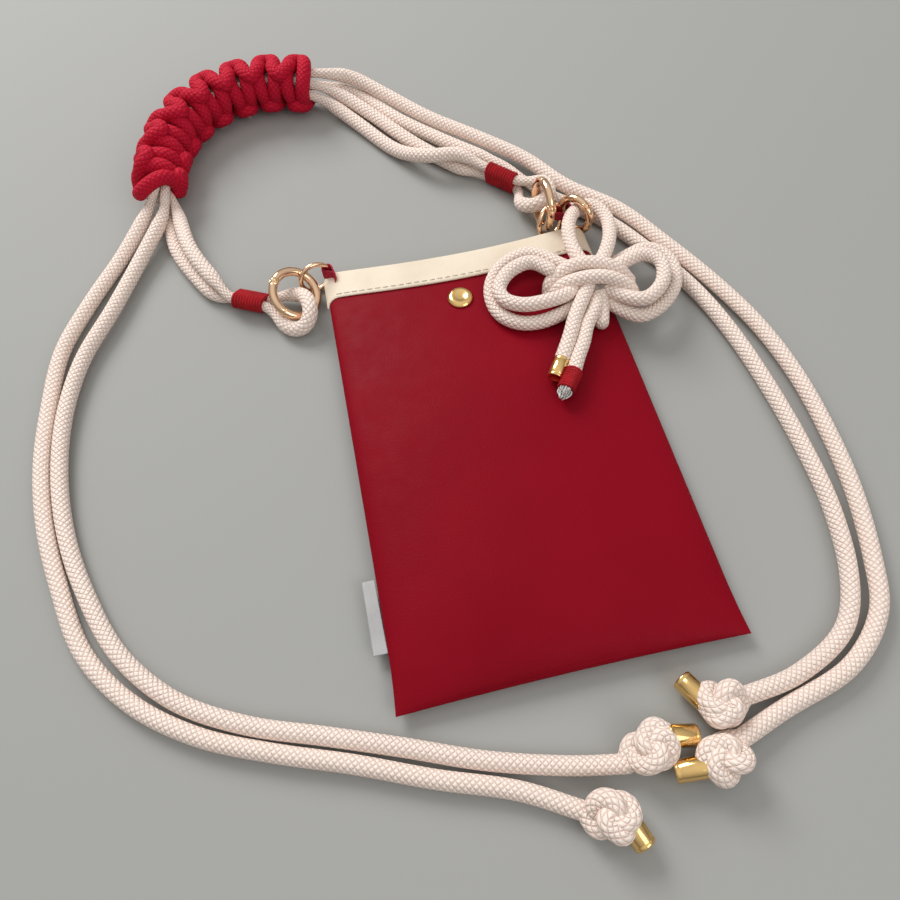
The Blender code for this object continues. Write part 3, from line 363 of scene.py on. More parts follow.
def braided(name, pale, deep, strands, pitch, depth, roughness=0.85):
    """Height = |sin(pi(x/pitch + n v))| times |sin(pi(x/pitch - n v))|, with yarn lines in each strand."""
    f = Finish(name, roughness, 0.0, Specular_IOR_Level=SOFT_SHINE)
    along, round_it = f.surface_uv()
    x = f.maths("DIVIDE", along, pitch)
    y = f.maths("MULTIPLY", round_it, float(strands))
    rising = f.maths("ADD", x, y)
    falling = f.maths("SUBTRACT", x, y)
    waves = (rising, falling)
    strand = (f.maths("SINE", f.maths("MULTIPLY", wave, math.pi)) for wave in waves)
    up, down = (f.maths("ABSOLUTE", wave) for wave in strand)
    diamond = f.maths("MULTIPLY", up, down)
    which = f.maths("PINGPONG", f.maths("ADD", f.maths("FLOOR", rising), f.maths("FLOOR", falling)), 1.0)
    yarn_up, yarn_down = (f.maths("SINE", f.maths("MULTIPLY", wave, YARNS * math.pi)) for wave in waves)
    yarn = f.add("ShaderNodeMix", 0, {"data_type": "FLOAT"}, Factor=which, A=yarn_up, B=yarn_down)
    height = f.maths("ADD", f.maths("POWER", diamond, 0.65), f.maths("MULTIPLY", yarn, 0.07))
    patches = f.noise(f.place(), 90.0)
    shade = f.maths("ADD", f.maths("MULTIPLY", height, 0.8), f.maths("MULTIPLY", patches, 0.25))
    # The colour follows the braid's height: gaps and yarn lines are painted darker as shade, and the noise
    # patches add random tone.
    f.colour(f.ramp(shade, [(0.05, deep), (0.6, pale), (1.0, pale)]))
    f.bump(height, depth)
    return f.material


CORD_PALE = (0.96, 0.82, 0.73)
# The darker cream below is painted into the gaps between strands as shade.
CORD_GAP_SHADE = (0.80, 0.57, 0.48)
CORD_WEAVE = braided("braided_cream_cord", CORD_PALE, CORD_GAP_SHADE, 8, 2.1 * MM, 0.45 * MM)
GRIP_PALE = (0.54, 0.001, 0.026)
# The darker crimson below is painted into the grip's gaps between strands as shade.
GRIP_GAP_SHADE = (0.38, 0.0, 0.014)
GRIP_WEAVE = braided("braided_crimson_cord", GRIP_PALE, GRIP_GAP_SHADE, 8, 1.8 * MM, 0.35 * MM, 0.75)
THREAD_TWISTS = 60.0


def wound(name, pale, deep, roughness):
    """Thread turns: fine twist lines across each turn, with painted groove shade, and slow random tone."""
    f = Finish(name, roughness, 0.0, Specular_IOR_Level=SOFT_SHINE)
    along, round_it = f.surface_uv()
    wave = f.maths("ADD", f.maths("MULTIPLY", round_it, THREAD_TWISTS), along)
    twist = f.maths("SINE", f.maths("MULTIPLY", wave, 2 * math.pi))
    patches = f.noise(f.place(), 300.0)
    # Colour: the twist grooves are painted a little darker as shade, over random patches of tone.
    f.colour(f.ramp(f.maths("ADD", f.maths("MULTIPLY", twist, 0.1), patches), [(0.3, deep), (0.7, pale)]))
    f.bump(f.maths("ADD", twist, patches), 0.06 * MM)
    return f.material


THREAD = wound("wound_red_thread", (0.46, 0.002, 0.009), (0.30, 0.0, 0.005), 0.55)
FRAYED = wound("frayed_white_fibre", (0.98, 0.96, 0.92), (0.92, 0.89, 0.84), 0.95)
print("cord finishes made")

# %% [markdown]
# ## Leather, tape and metal
#
# The leather is smooth and fine grained: tiny cells a little under a millimetre, very shallow, and a soft
# sheen. The tape at the mouth is a plain weave. The metals are polished, so their look comes from what
# they reflect, and faint hazy patches keep the shine from being perfect.

# %% Leather, tape, label and metal finishes
GRAIN_PER_METRE = 1500.0
LEATHER_SHINE = 0.06


def leather(name, pale, deep):
    """Cells of 0.7 mm over slow swells; colour drifts with a broad noise."""
    f = Finish(name, 0.5, 0.0, Specular_IOR_Level=LEATHER_SHINE)
    place = f.place()
    cells = f.add("ShaderNodeTexVoronoi", 0, None, Vector=place, Scale=GRAIN_PER_METRE)
    fine = f.noise(place, 2600.0, 2.0)
    broad = f.noise(place, 28.0, 4.0)
    f.colour(f.ramp(broad, [(0.3, deep), (0.72, pale)]))
    height = f.maths("ADD", f.maths("MULTIPLY", cells, 0.7), f.maths("MULTIPLY", fine, 0.5))
    f.bump(height, 0.11 * MM, 0.55)
    f.rough(f.noise(place, 160.0, 3.0), 0.7, 0.44, 0.58)
    return f.material


def plain_weave(name, pale, deep, count, depth, roughness=0.8):
    """Over and under threads: sin(x) sin(y) on the UV map, counted in threads per metre."""
    f = Finish(name, roughness)
    waves = [f.maths("SINE", f.maths("MULTIPLY", way, count * math.pi)) for way in f.surface_uv()]
    weave = f.maths("MULTIPLY", *waves)
    patches = f.noise(f.place(), 60.0, 4.0)
    shade = f.maths("ADD", f.maths("MULTIPLY", weave, 0.16), patches)
    # The weave's low points are painted a little darker as shade; the noise patches are random tone.
    f.colour(f.ramp(shade, [(0.25, deep), (0.65, pale)]))
    f.bump(weave, depth)
    return f.material


def polished(name, tone, roughness):
    """Metal with faint haze and fine rubbing marks."""
    f = Finish(name, roughness, 1.0)
    place = f.place()
    haze = f.noise(place, 220.0, 4.0)
    f.colour(f.ramp(haze, [(0.2, tuple(0.9 * c for c in tone)), (0.8, tone)]))
    f.rough(haze, 0.8, roughness * 0.7, roughness * 1.6)
    f.bump(f.noise(place, 1800.0, 2.0), 0.01 * MM)
    return f.material


LEATHER = leather("fine_red_leather", (0.235, 0.002, 0.0105), (0.205, 0.0015, 0.0085))
TAPE = plain_weave("cream_tape", (0.80, 0.69, 0.55), (0.70, 0.58, 0.44), 1600.0, 0.03 * MM, 0.6)
WEBBING = plain_weave("red_webbing", (0.42, 0.003, 0.03), (0.24, 0.001, 0.012), 1500.0, 0.12 * MM)
LABEL = plain_weave("grey_label_tape", (0.52, 0.52, 0.51), (0.38, 0.38, 0.38), 3000.0, 0.05 * MM)
STITCH = wound("cream_stitch_thread", (0.95, 0.86, 0.72), (0.85, 0.74, 0.60), 0.6)
ROSE_METAL = polished("rose_gold_metal", (0.92, 0.62, 0.40), 0.12)
GOLD_METAL = polished("yellow_gold_metal", (0.90, 0.60, 0.24), 0.16)
print("leather, tape and metal made")

# %% [markdown]
# ## Floor and light
#
# The photograph was taken on a plain grey floor under broad, soft light from above and behind. One wide
# area lamp high behind the pouch gives the soft shadows, a weaker one in front fills them, and the world
# gives the rest. Their levels are such that a colour renders about as it is written.

# %% Floor, lamps and world
floor_finish = Finish("pale_floor", 0.75)
floor_tone = floor_finish.noise(floor_finish.place(), 1.2, 2.0)
floor_finish.colour(floor_finish.ramp(floor_tone, [(0.2, (0.315, 0.315, 0.30)), (0.8, (0.345, 0.345, 0.33))]))
FLOOR_HALF = 4.0
floor_mesh = bpy.data.meshes.new("floor")
corners = [(FLOOR_HALF * x, FLOOR_HALF * y, 0) for x, y in ((-1, -1), (1, -1), (1, 1), (-1, 1))]
floor_mesh.from_pydata(corners, [], [(0, 1, 2, 3)])
floor_mesh.materials.append(floor_finish.material)
floor = bpy.data.objects.new("floor", floor_mesh)
bpy.context.scene.collection.objects.link(floor)


def lamp(name, place, target, size, watts):
    """A square area lamp whose back axis points away from its target."""
    data = bpy.data.lights.new(name, "AREA")
    data.size = size
    data.energy = watts
    obj = bpy.data.objects.new(name, data)
    bpy.context.scene.collection.objects.link(obj)
    axes = axes_of(np.asarray(place, float) - np.asarray(target, float))
    turn = Matrix([list(column) for column in axes.T]).to_4x4()
    obj.matrix_world = Matrix.Translation(place) @ turn


LAMPS = {
    "high_lamp": ((-0.5, 1.15, 0.95), (0.0, 0.02, 0.0), 0.75, 19.0),
    "front_fill": ((0.7, -0.9, 1.0), (0.0, 0.0, 0.0), 0.8, 4.5),
}
for lamp_name, facts in LAMPS.items():
    lamp(lamp_name, *facts)
SKY_STRENGTH = 0.85
world = bpy.data.worlds.new("soft_room")
world.use_nodes = True
sky = world.node_tree.nodes
up = sky.new("ShaderNodeSeparateXYZ")
shade = sky.new("ShaderNodeValToRGB")
world.node_tree.links.new(sky.new("ShaderNodeTexCoord").outputs["Generated"], up.inputs[0])
world.node_tree.links.new(up.outputs[2], shade.inputs[0])
world.node_tree.links.new(shade.outputs[0], sky["Background"].inputs[0])
shade.color_ramp.elements[0].color = (0.16, 0.16, 0.155, 1.0)
shade.color_ramp.elements[1].color = (1.0, 0.99, 0.975, 1.0)
sky["Background"].inputs[1].default_value = SKY_STRENGTH
bpy.context.scene.world = world
print("floor and lamps placed")

# %% [markdown]
# ## Strap cords
#
# Two 6 mm cords make the whole strap. Each starts at a knot, runs up to the grip, passes down to an eye
# held by a ring, and comes back through the grip to its second knot. The routes below are the part's own,
# in millimetres. Inside the grip and under the red wraps the cord is squeezed thinner.

# %% Routes of all the cords
ROUTES = {
    "strap_cord_a": [
        (-8.8, -125.5, 3.9), (-26.7, -115.5, 3.1), (-50.1, -107, 3.1), (-73, -97.5, 3.1), (-96.4, -88.9, 3.1),
        (-119.1, -78.8, 3.1), (-139.1, -64, 3.1), (-153.6, -44.2, 3.2), (-160.9, -20.4, 3.2),
        (-165.8, 3.9, 3.2), (-166.9, 28.7, 3.4), (-164.1, 53.4, 3.4), (-159, 77.7, 3.4), (-147.2, 99.6, 3.5),
        (-133.8, 120.4, 3.5), (-121, 139.4, 7.2), (-118.1, 142.8, 10.6), (-115.3, 144.8, 14.3),
        (-114.8, 149.8, 14.7), (-113.4, 158.1, 15.1), (-110.4, 165.9, 15.4), (-106.4, 173.4, 15.5),
        (-101.5, 180.2, 15.5), (-95.5, 186.2, 15.4), (-88.7, 191.1, 15.4), (-80.9, 194.3, 15.4),
        (-72.7, 196.1, 15.4), (-64.3, 196.3, 15.4), (-55.9, 194.9, 15.4), (-47.9, 192.6, 15),
        (-40.4, 191.7, 12.1), (-30.3, 188.8, 7.2), (-17.7, 175.1, 4.2), (-3.7, 154.6, 3.7),
        (12.5, 135.7, 3.3), (23.3, 128.2, 3.2), (29.6, 122.6, 3.1), (33.8, 118.3, 3.1), (34.6, 114.6, 3.2),
        (33, 106.8, 5.3), (36.5, 101.8, 8), (40.2, 101.4, 9.2), (43.9, 103.8, 9.6), (45.6, 108.2, 9.8),
        (44.6, 111.9, 9.7), (41, 113.7, 9.1), (36, 116.2, 7.9), (32.6, 118.6, 7.7), (26.7, 124.3, 7.7),
        (20.8, 130.2, 8.2), (12.9, 136.5, 9.7), (-0.4, 140.1, 8.7), (-12.2, 152.7, 3.5), (-25.5, 173.4, 3.2),
        (-35.4, 185.5, 5.6), (-43.8, 189, 9.8), (-51.1, 192.5, 10.8), (-59.3, 194.6, 10.8),
        (-67.6, 195.5, 10.8), (-76, 194.6, 10.8), (-84.1, 192.2, 10.8), (-91.5, 188.1, 10.8),
        (-97.6, 182.4, 10.9), (-102.5, 175.5, 11.3), (-106.1, 167.9, 11.9), (-108.9, 160, 12.4),
        (-110.6, 151.7, 12.6), (-112.4, 143.6, 11.2), (-115.1, 134, 7.8), (-126.9, 114.4, 4.7),
        (-138.5, 92.6, 4.5), (-150.9, 71.3, 4.3), (-158.1, 47.7, 4.2), (-160.3, 23, 4.1), (-158.2, -1.6, 3.9),
        (-151.7, -25.5, 3.8), (-141.6, -48.1, 3.7), (-125.1, -66.5, 3.6), (-103.7, -78.9, 3.5),
        (-80.3, -87.5, 3.4), (-57.1, -96.2, 3.3), (-34, -105.3, 3.2), (-10.1, -112.2, 3.1),
        (7.2, -115.6, 3.5),
    ],
    "strap_cord_b": [
        (42.2, -116.7, 5.3), (60, -110.9, 3.2), (84, -103.9, 3.3), (100.4, -90.1, 3.4), (106.7, -72.8, 3.7),
        (111.4, -48, 3.8), (112.5, -22.9, 4), (111, 2.2, 4.1), (105.6, 26.7, 4.3), (96.2, 49.9, 4.6),
        (84.7, 72.2, 4.8), (72.1, 93.7, 5.1), (54.5, 111.3, 5.4), (41, 131.4, 5.7), (23.5, 148.9, 6.1),
        (5.3, 165.9, 6.4), (-10.9, 184.9, 7), (-23.8, 195.6, 10.1), (-36.6, 196, 14.5), (-44.7, 196.5, 15.6),
        (-53.4, 199, 14.4), (-61.7, 200.7, 14.4), (-70.2, 201, 14.4), (-78.6, 199.7, 14.4),
        (-86.7, 197.1, 14.4), (-94.1, 193.1, 14.4), (-100.6, 187.6, 14.2), (-106.2, 181.3, 13.6),
        (-110.6, 174, 12.9), (-113.8, 166.3, 12), (-116.1, 158.1, 11.1), (-117, 150.3, 10.3),
        (-115.4, 143.7, 5.9), (-113.6, 137.6, 2.8), (-111.2, 117.1, 3), (-100.7, 94.8, 3), (-95.1, 89.3, 2.1),
        (-89.9, 89, 2.5), (-83.1, 85.7, 3), (-77.4, 83, 3), (-73, 83.7, 3.4), (-65, 81.3, 5.7),
        (-61.8, 76.7, 7.8), (-61.2, 70.9, 7.8), (-63.1, 67.1, 5.6), (-66.4, 65.9, 3.8), (-71.1, 68, 3.1),
        (-76.6, 76.9, 4.3), (-79.1, 79.4, 5.1), (-84, 81.8, 5.4), (-91.1, 85.6, 5.5), (-96, 93.2, 7.9),
        (-104.8, 112.5, 9.1), (-109.2, 136.9, 6.3), (-111.7, 146.4, 7.3), (-112.6, 154.7, 8.5),
        (-111.1, 163, 8.7), (-108.8, 171.2, 8.9), (-105.4, 179, 9.3), (-100.5, 185.9, 9.6),
        (-94.4, 191.7, 9.8), (-87, 195.9, 9.8), (-79, 198.6, 9.8), (-70.6, 200, 9.8), (-62.1, 199.7, 9.8),
        (-53.8, 198.1, 9.9), (-45.1, 196.9, 9.1), (-35.7, 197, 6.3), (-21.8, 190.5, 3.4), (-6.6, 170.8, 3),
        (10.5, 152.5, 3.1), (28.4, 135.2, 3.1), (34, 128.5, 3.1), (38.5, 121.2, 3.1), (47.3, 108.7, 3.1),
        (65.1, 91.4, 3.1), (78.3, 70.2, 3.1), (89.2, 47.7, 3.1), (95.9, 23.7, 3.1), (99.7, -1, 3.1),
        (101.8, -25.9, 3.1), (101.8, -50.9, 3.1), (97.2, -75.5, 3.1), (87.4, -92.4, 3.1), (67.8, -102.1, 3.1),
        (47.7, -105.1, 4.8),
    ],
    "bow_left_loop_outer": [
        (41.6, 59.3, 15.1), (35.9, 64.2, 15.5), (30.5, 69.6, 15.3), (25.6, 71.8, 15), (18.8, 70.5, 14.7),
        (12.6, 66.5, 14.2), (8.6, 60.2, 14), (7.5, 52.9, 14), (9.3, 46.1, 14), (14.6, 41.2, 14.2),
        (21.7, 39.8, 14), (29.1, 41.1, 13.6), (36, 44, 12.7), (42, 48.6, 12.1),
    ],
    "bow_left_loop_inner": [
        (31.5, 59.1, 18.6), (26.9, 63.5, 18.9), (22.6, 64.3, 19), (15.7, 61.5, 19.1), (10.8, 56, 19.2),
        (10.1, 51.7, 19.2), (12.2, 47.8, 19.3), (18.1, 44.9, 19.4), (25.7, 44.9, 19.1), (33, 46.8, 17.5),
        (39.6, 50.1, 15.5),
    ],
    "bow_right_loop_outer": [
        (50.8, 57, 11.9), (57.1, 61.2, 11.4), (64, 64.1, 10.6), (71.1, 66.6, 10.2), (75.6, 66.2, 10.2),
        (79.4, 62.9, 10.3), (81.3, 56.4, 10.5), (79.9, 49.1, 10.6), (75.8, 42.9, 10.8), (69.9, 38.2, 10.9),
        (63.2, 35.6, 11), (59, 36.4, 11.2), (53.7, 41, 11.6), (48.9, 46.8, 12.3),
    ],
    "bow_right_loop_inner": [
        (53.2, 55.5, 16.1), (60.5, 57.6, 16.6), (67.2, 59.5, 16.7), (71.4, 58.3, 16.7), (74, 55.6, 16.7),
        (74.5, 51.3, 16.8), (71.7, 44.6, 16.8), (65.9, 39.8, 16.8), (61.1, 39, 16.9), (56.4, 41.4, 16.8),
        (51.4, 47, 15.9),
    ],
    "bow_hanging_loop": [
        (46.4, 57.5, 16.6), (43.6, 65.6, 17.4), (43.8, 73.8, 16.4), (45.7, 81.4, 15), (48.9, 88, 13),
        (53, 92.8, 10.3), (56.4, 94.6, 10.2), (59.4, 94.2, 10.2), (62.1, 91.5, 10.3), (63.5, 85.4, 10.7),
        (62, 78, 12.4), (59.3, 71, 14.6), (55.5, 64.4, 16.1), (50.7, 58.2, 16.6),
    ],
    "bow_left_tail": [
        (41.7, 46.4, 17.1), (38.1, 41.4, 16.8), (35, 36.9, 16.6), (31.8, 31, 16.5), (28.3, 25.2, 16.4),
        (24.6, 19.6, 16),
    ],
    "bow_right_tail": [
        (47.2, 46.2, 14.6), (43.3, 39.5, 14.7), (38.7, 33.4, 14.9), (35.4, 26.8, 15.3), (31.4, 20.5, 15.7),
        (27.7, 14, 16),
    ],
}
BRAID_LINE = [
    (-43.5, 192.8, 12.6), (-54.1, 196.4, 12.6), (-64, 198.2, 12.6), (-74.6, 197.8, 12.6), (-91, 192, 12.6),
    (-104.1, 179, 12.4), (-111.7, 162.2, 12), (-114.2, 148.9, 11.4), (-113.5, 145, 11),
]
LEFT_WRAP = ((-90.0, 87.0, 4.1), (-78.0, 81.0, 4.1), 35.0)
RIGHT_WRAP = ((24.0, 127.6, 5.4), (34.0, 117.6, 5.4), 80.0)
KNOTS = {
    "left_outer": ((-1.9, -128.3, 7.6), (2.3, -130.8, 7.0), (5.3, -138.1, 5.0)),
    "left_inner": ((15.0, -113.4, 7.6), (20.8, -111.2, 8.0), (29.5, -112.6, 5.0)),
    "right_outer": ((35.3, -120.9, 7.6), (28.7, -121.8, 7.0), (20.1, -121.1, 5.0)),
    "right_inner": ((39.9, -105.7, 7.6), (34.9, -103.5, 7.0), (31.1, -95.7, 5.0)),
}
print(len(ROUTES), "routes")

# %% Strap cords
CORD_WIDTH = 6.0 * MM
CORE_SHARE = 0.66
CORD_SIDES = 28
GRIP_MARGIN, GRIP_FADE = 7.0 * MM, 9.0 * MM
WRAP_MARGIN, WRAP_FADE = 6.5 * MM, 6.0 * MM


def cord_route(points, step, times=6):
    """Even, lightly softened stations on a smooth curve through points in millimetres."""
    return softened(stations(scaled(points), step), times)


def cord_piece(name, path, width, node):
    """A braided cream cord along a path, standing for one solid."""
    piece(name, [tube(path, width / 2, CORD_SIDES)], CORD_WEAVE, [node])


def squeezed(path, full):
    """Radius along a path: full, but less near the grip's middle line and the wraps."""
    line = stations(scaled(BRAID_LINE), 2 * MM)
    wraps = scaled(np.vstack([np.linspace(w[0], w[1], 12) for w in (LEFT_WRAP, RIGHT_WRAP)]))
    radius = np.full(len(path), full)
    for zone, margin, fade in ((line, GRIP_MARGIN, GRIP_FADE), (wraps, WRAP_MARGIN, WRAP_FADE)):
        gap = np.sqrt(((path[:, None] - zone[None]) ** 2).sum(axis=2)).min(axis=1)
        share = CORE_SHARE + (1 - CORE_SHARE) * np.clip((gap - margin) / fade, 0, 1)
        radius = np.minimum(radius, full * share)
    return radius


strap_paths = {}
for cord_name in ("strap_cord_a", "strap_cord_b"):
    path = cord_route(ROUTES[cord_name], 1.0 * MM)
    strap_paths[cord_name] = path
    cord_piece("dressed_" + cord_name, path, 2 * squeezed(path, CORD_WIDTH / 2), cord_name)
    print(cord_name, round(travelled(path)[-1] / MM), "mm long")

# %% [markdown]
# ## Overhand knots and gold cups
#
# Each cord's end is tied in an overhand knot. Its curve is the trefoil, the knot with three crossings:
# a point goes twice round a ring while it goes three times round the ring's own tube. Opened at one lobe
# it takes the cord in on one side and lets it out to the cup on the other. The cup is a turned brass tube
# with a rim at each end and a shallow dish in its closed end.

# %% Overhand knots
KNOT_WIDTH = 6.0 * MM
KNOT_SCALE = 2.5 * MM
KNOT_RING = 1.3
KNOT_OPENING = 26.0
LEAD_OUT, LEAD_ALONG, LEAD_DROP = 0.75, 1.3, 0.9


def overhand(centre, entry, leave, lean):
    """Route in at entry, round the opened trefoil, out at leave; lean tips the knot's plane."""
    y = normal_rows(np.array((entry[0] - leave[0], entry[1] - leave[1], 0.0)))
    x = np.cross(y, UP) * lean[0]
    z = normal_rows(np.array(UP) + lean[1] * x + lean[2] * y)
    x = normal_rows(np.cross(y, z)) * lean[0]
    gap = math.radians(KNOT_OPENING)
    t = np.linspace(2 * np.pi - gap, gap, 46)[:, None]
    wide = KNOT_RING + np.cos(3 * t)
    loops = centre + KNOT_SCALE * (wide * np.cos(2 * t) * x + wide * np.sin(2 * t) * y + np.sin(3 * t) * z)
    lead = LEAD_ALONG * y - LEAD_DROP * z
    beside = centre + (KNOT_RING + LEAD_OUT) * KNOT_SCALE * x
    return np.vstack([entry, beside + KNOT_SCALE * lead, loops, beside - KNOT_SCALE * lead, leave])


def gold_piece(name, profile, place, way, node, sides=48):
    """A turned shape in yellow gold."""
    piece(name, [turned(profile, place, way, sides)], GOLD_METAL, [node])


ENDS = {
    "left_outer": ("strap_cord_a", 0, (-1.0, 0.15, -0.2)),
    "left_inner": ("strap_cord_a", -1, (1.0, 0.2, -0.3)),
    "right_outer": ("strap_cord_b", 0, (-1.0, 0.2, 0.2)),
    "right_inner": ("strap_cord_b", -1, (1.0, 0.15, 0.25)),
}
CUP_WIDTH = 7.0
CUP_LENGTH = 10.0
CUP_GRIP = 1.5
cup_r = CUP_WIDTH / 2
CUP_PROFILE = [
    (0.05, 0.9), (cup_r - 0.75, 0.9), (cup_r - 0.6, 0.5), (cup_r - 0.5, 0.05), (cup_r - 0.25, 0.0),
    (cup_r - 0.1, 0.1), (cup_r, 0.3), (cup_r, 0.7), (cup_r - 0.08, 0.95), (cup_r - 0.08, 1.15), (cup_r, 1.4),
    (cup_r, 8.2), (cup_r - 0.08, 8.45), (cup_r - 0.08, 8.65), (cup_r, 8.9), (cup_r, 9.5),
    (cup_r - 0.12, 9.85), (cup_r - 0.4, 10.0), (cup_r - 0.8, 10.0), (cup_r - 1.0, 9.9), (cup_r - 1.15, 9.6),
    (1.2, 9.25), (0.05, 9.2),
]
for key, (cord_name, end, lean) in ENDS.items():
    centre, cup_a, cup_b = (scaled(p) for p in KNOTS[key])
    way = normal_rows(cup_b - cup_a)
    cup_start = cup_b - way * CUP_LENGTH * MM
    route = overhand(centre, strap_paths[cord_name][end], cup_start + way * CUP_GRIP * MM, lean)
    path = even(softened(even(route, 0.5 * MM), 14), 0.5 * MM)
    cord_piece("tied_" + key + "_knot", path, KNOT_WIDTH, key + "_knot")
    gold_piece("turned_" + key + "_cup", CUP_PROFILE, cup_start, way, key + "_end_cup")

# %% Length of each strap cord, worked out and not kept
for cord_name, path in strap_paths.items():
    float(travelled(path)[-1])

# %% [markdown]
# ## Red thread wraps
#
# Where each doubled cord closes into an eye, red thread is wound round both strands. The outline is a
# stadium, two half circles with straight runs between, and each turn of thread is one small swell along
# the axis: the radius gains a term |sin| once a turn.

# %% Thread wraps at the eyes
WRAP_REACH, WRAP_RADIUS, WRAP_TURNS, WRAP_SWELL = 2.1 * MM, 3.2 * MM, 11, 0.4 * MM


def wound_shape(a, b, across, reach, radius, turns, swell):
    """Stadium carried from a to b whose radius swells once for each turn of thread."""
    a, b = np.asarray(a, float), np.asarray(b, float)
    way = normal_rows(b - a)
    across = normal_rows(across - way * np.dot(across, way))
    other = np.cross(way, across)
    t = np.linspace(0, 1, turns * 6 + 1)
    r = radius + swell * (np.abs(np.sin(np.pi * t * turns)) - 0.6)
    t = np.concatenate([[0, 0], t, [1, 1]])
    r = np.concatenate([[radius * 0.5, radius * 0.85], r, [radius * 0.85, radius * 0.5]])
    angle = np.linspace(0, 2 * np.pi, 49)[:-1]
    shift = reach * np.clip(np.cos(angle) * 4, -1, 1)
    ring = r[:, None, None] * (np.cos(angle)[:, None] * across + np.sin(angle)[:, None] * other)
    grid = a + (t[:, None] * (b - a))[:, None] + ring + (shift[:, None] * across)[None]
    return grid_shape(grid)


for wrap_name, (a, b, roll) in (("left_wrap", LEFT_WRAP), ("right_wrap", RIGHT_WRAP)):
    a, b = scaled(a), scaled(b)
    way = normal_rows(b - a)
    side = normal_rows(np.cross(way, UP))
    up = np.cross(side, way)
    across = side * math.cos(math.radians(roll)) + up * math.sin(math.radians(roll))
    a, b = a + way * 0.4 * MM, b - way * 0.4 * MM
    shape = wound_shape(a, b, across, WRAP_REACH, WRAP_RADIUS, WRAP_TURNS, WRAP_SWELL)
    piece("thread_" + wrap_name, [shape], THREAD, [wrap_name])

# %% [markdown]
# ## Braided grip
#
# The grip is a run of flat knots: two crimson cords cross over and under the four cream cords, and change
# sides at every knot. Seen from the front this makes paired rungs, with an arch at each edge. Each working
# cord is one curve in the grip's own frame, a sum of sines in the distance along, across and above it, and
# the second cord is the first turned half round. The ends stop beneath the core, where they don't show.

# %% Grip braid
GRIP_TURNS = 15
GRIP_ACROSS = 8.9
GRIP_ABOVE = 6.3
GRIP_WIDTH = 6.3
GRIP_END = 1.5
GRIP_LEAN = 0.30
ROLL_FIRST, ROLL_LAST = 78.0, 25.0
GRIP_SPANS = {"grip_braid_a": (1.0, -0.3, 15.28), "grip_braid_b": (-1.0, 0.22, 14.78)}
grip_line = softened(even(stations(np.array(BRAID_LINE, float), 0.5), 0.5), 30)
grip_run = travelled(grip_line)


def eased(x):
    """Zero to one with level ends: x x (3 - 2 x)."""
    x = np.clip(x, 0, 1)
    return x * x * (3 - 2 * x)


def grip_frame():
    """Across and above along the grip: level outward and up, both rolled, and less so in its second half."""
    tangent = normal_rows(np.gradient(grip_line, axis=0))
    outward = normal_rows(np.cross(tangent, UP))
    lift = np.cross(outward, tangent)
    ease = eased((grip_run / grip_run[-1] - 0.5) / 0.5)
    roll = np.radians(ROLL_FIRST + (ROLL_LAST - ROLL_FIRST) * ease)[:, None]
    return np.cos(roll) * outward + np.sin(roll) * lift, np.cos(roll) * lift - np.sin(roll) * outward


def in_grip(x, v, w):
    """Point = grip line at x, plus v times across, plus w times above; straight on past the line's ends."""
    across, above = grip_frame()
    inside = np.clip(x, 0, grip_run[-1])

    def at(values):
        return np.stack([np.interp(inside, grip_run, values[:, k]) for k in range(3)], axis=1)

    past = (x - inside)[:, None] * at(normal_rows(np.gradient(grip_line, axis=0)))
    return scaled(at(grip_line) + past + at(across) * v[:, None] + at(above) * w[:, None])


pitch = (grip_run[-1] - 2 * GRIP_END) / GRIP_TURNS
for grip_name, (sign, first, last) in GRIP_SPANS.items():
    t = np.linspace(first, last, GRIP_TURNS * 90)
    x = GRIP_END + pitch * (t - GRIP_LEAN * np.sin(2 * np.pi * t))
    v = GRIP_ACROSS * (np.sin(np.pi * t) + 0.179 * np.sin(3 * np.pi * t) - 0.045 * np.sin(5 * np.pi * t))
    w = GRIP_ABOVE * (np.cos(2 * np.pi * t) + 0.022 * np.cos(4 * np.pi * t))
    path = even(in_grip(x, sign * v, sign * w), 0.6 * MM)
    shape = tube(path, GRIP_WIDTH / 2 * MM)
    piece("dressed_" + grip_name, [shape], GRIP_WEAVE, [grip_name])

# %% [markdown]
# ## Rings with a spring gate
#
# A gate ring is a round wire bent to a circle. One stretch of it, the gate, turns inward on a small pin
# that two cheeks hold, and a spring shuts it. The thin rings that pass through the webbing loops are plain.
# Each is a tube carried along an arc in the ring's own plane.

# %% Gate rings and plain rings
RINGS = {
    "left": ((-66.0, 80.3, 7.7), (0.461, -0.334, 0.822), 9.2, 1.8, 98.0, 180.0),
    "right": ((40.3, 98.5, 11.3), (0.995, 0.039, -0.094), 9.2, 1.8, 148.0, 68.0),
    "charm": ((52.6, 92.2, 8.8), (-0.809, -0.567, 0.146), 7.0, 1.7, 60.0, -13.0),
}
PLAIN_RINGS = {
    "left": ((-57.1, 86.8, 7.2), (0.279, -0.943, 0.181), 6.1, 0.95),
    "right": ((41.6, 91.6, 8.4), (0.51, -0.79, 0.33), 6.6, 0.95),
}


def ring_place(centre, normal, radius, degrees):
    """Point = centre + radius times (cos a, sin a) in the ring's plane, from its level axis."""
    n = normal_rows(np.asarray(normal, float))
    level = normal_rows(np.cross(UP, n))
    rise = np.cross(n, level)
    a = np.radians(np.atleast_1d(degrees))[:, None]
    return scaled(np.asarray(centre) + radius * (np.cos(a) * level + np.sin(a) * rise))


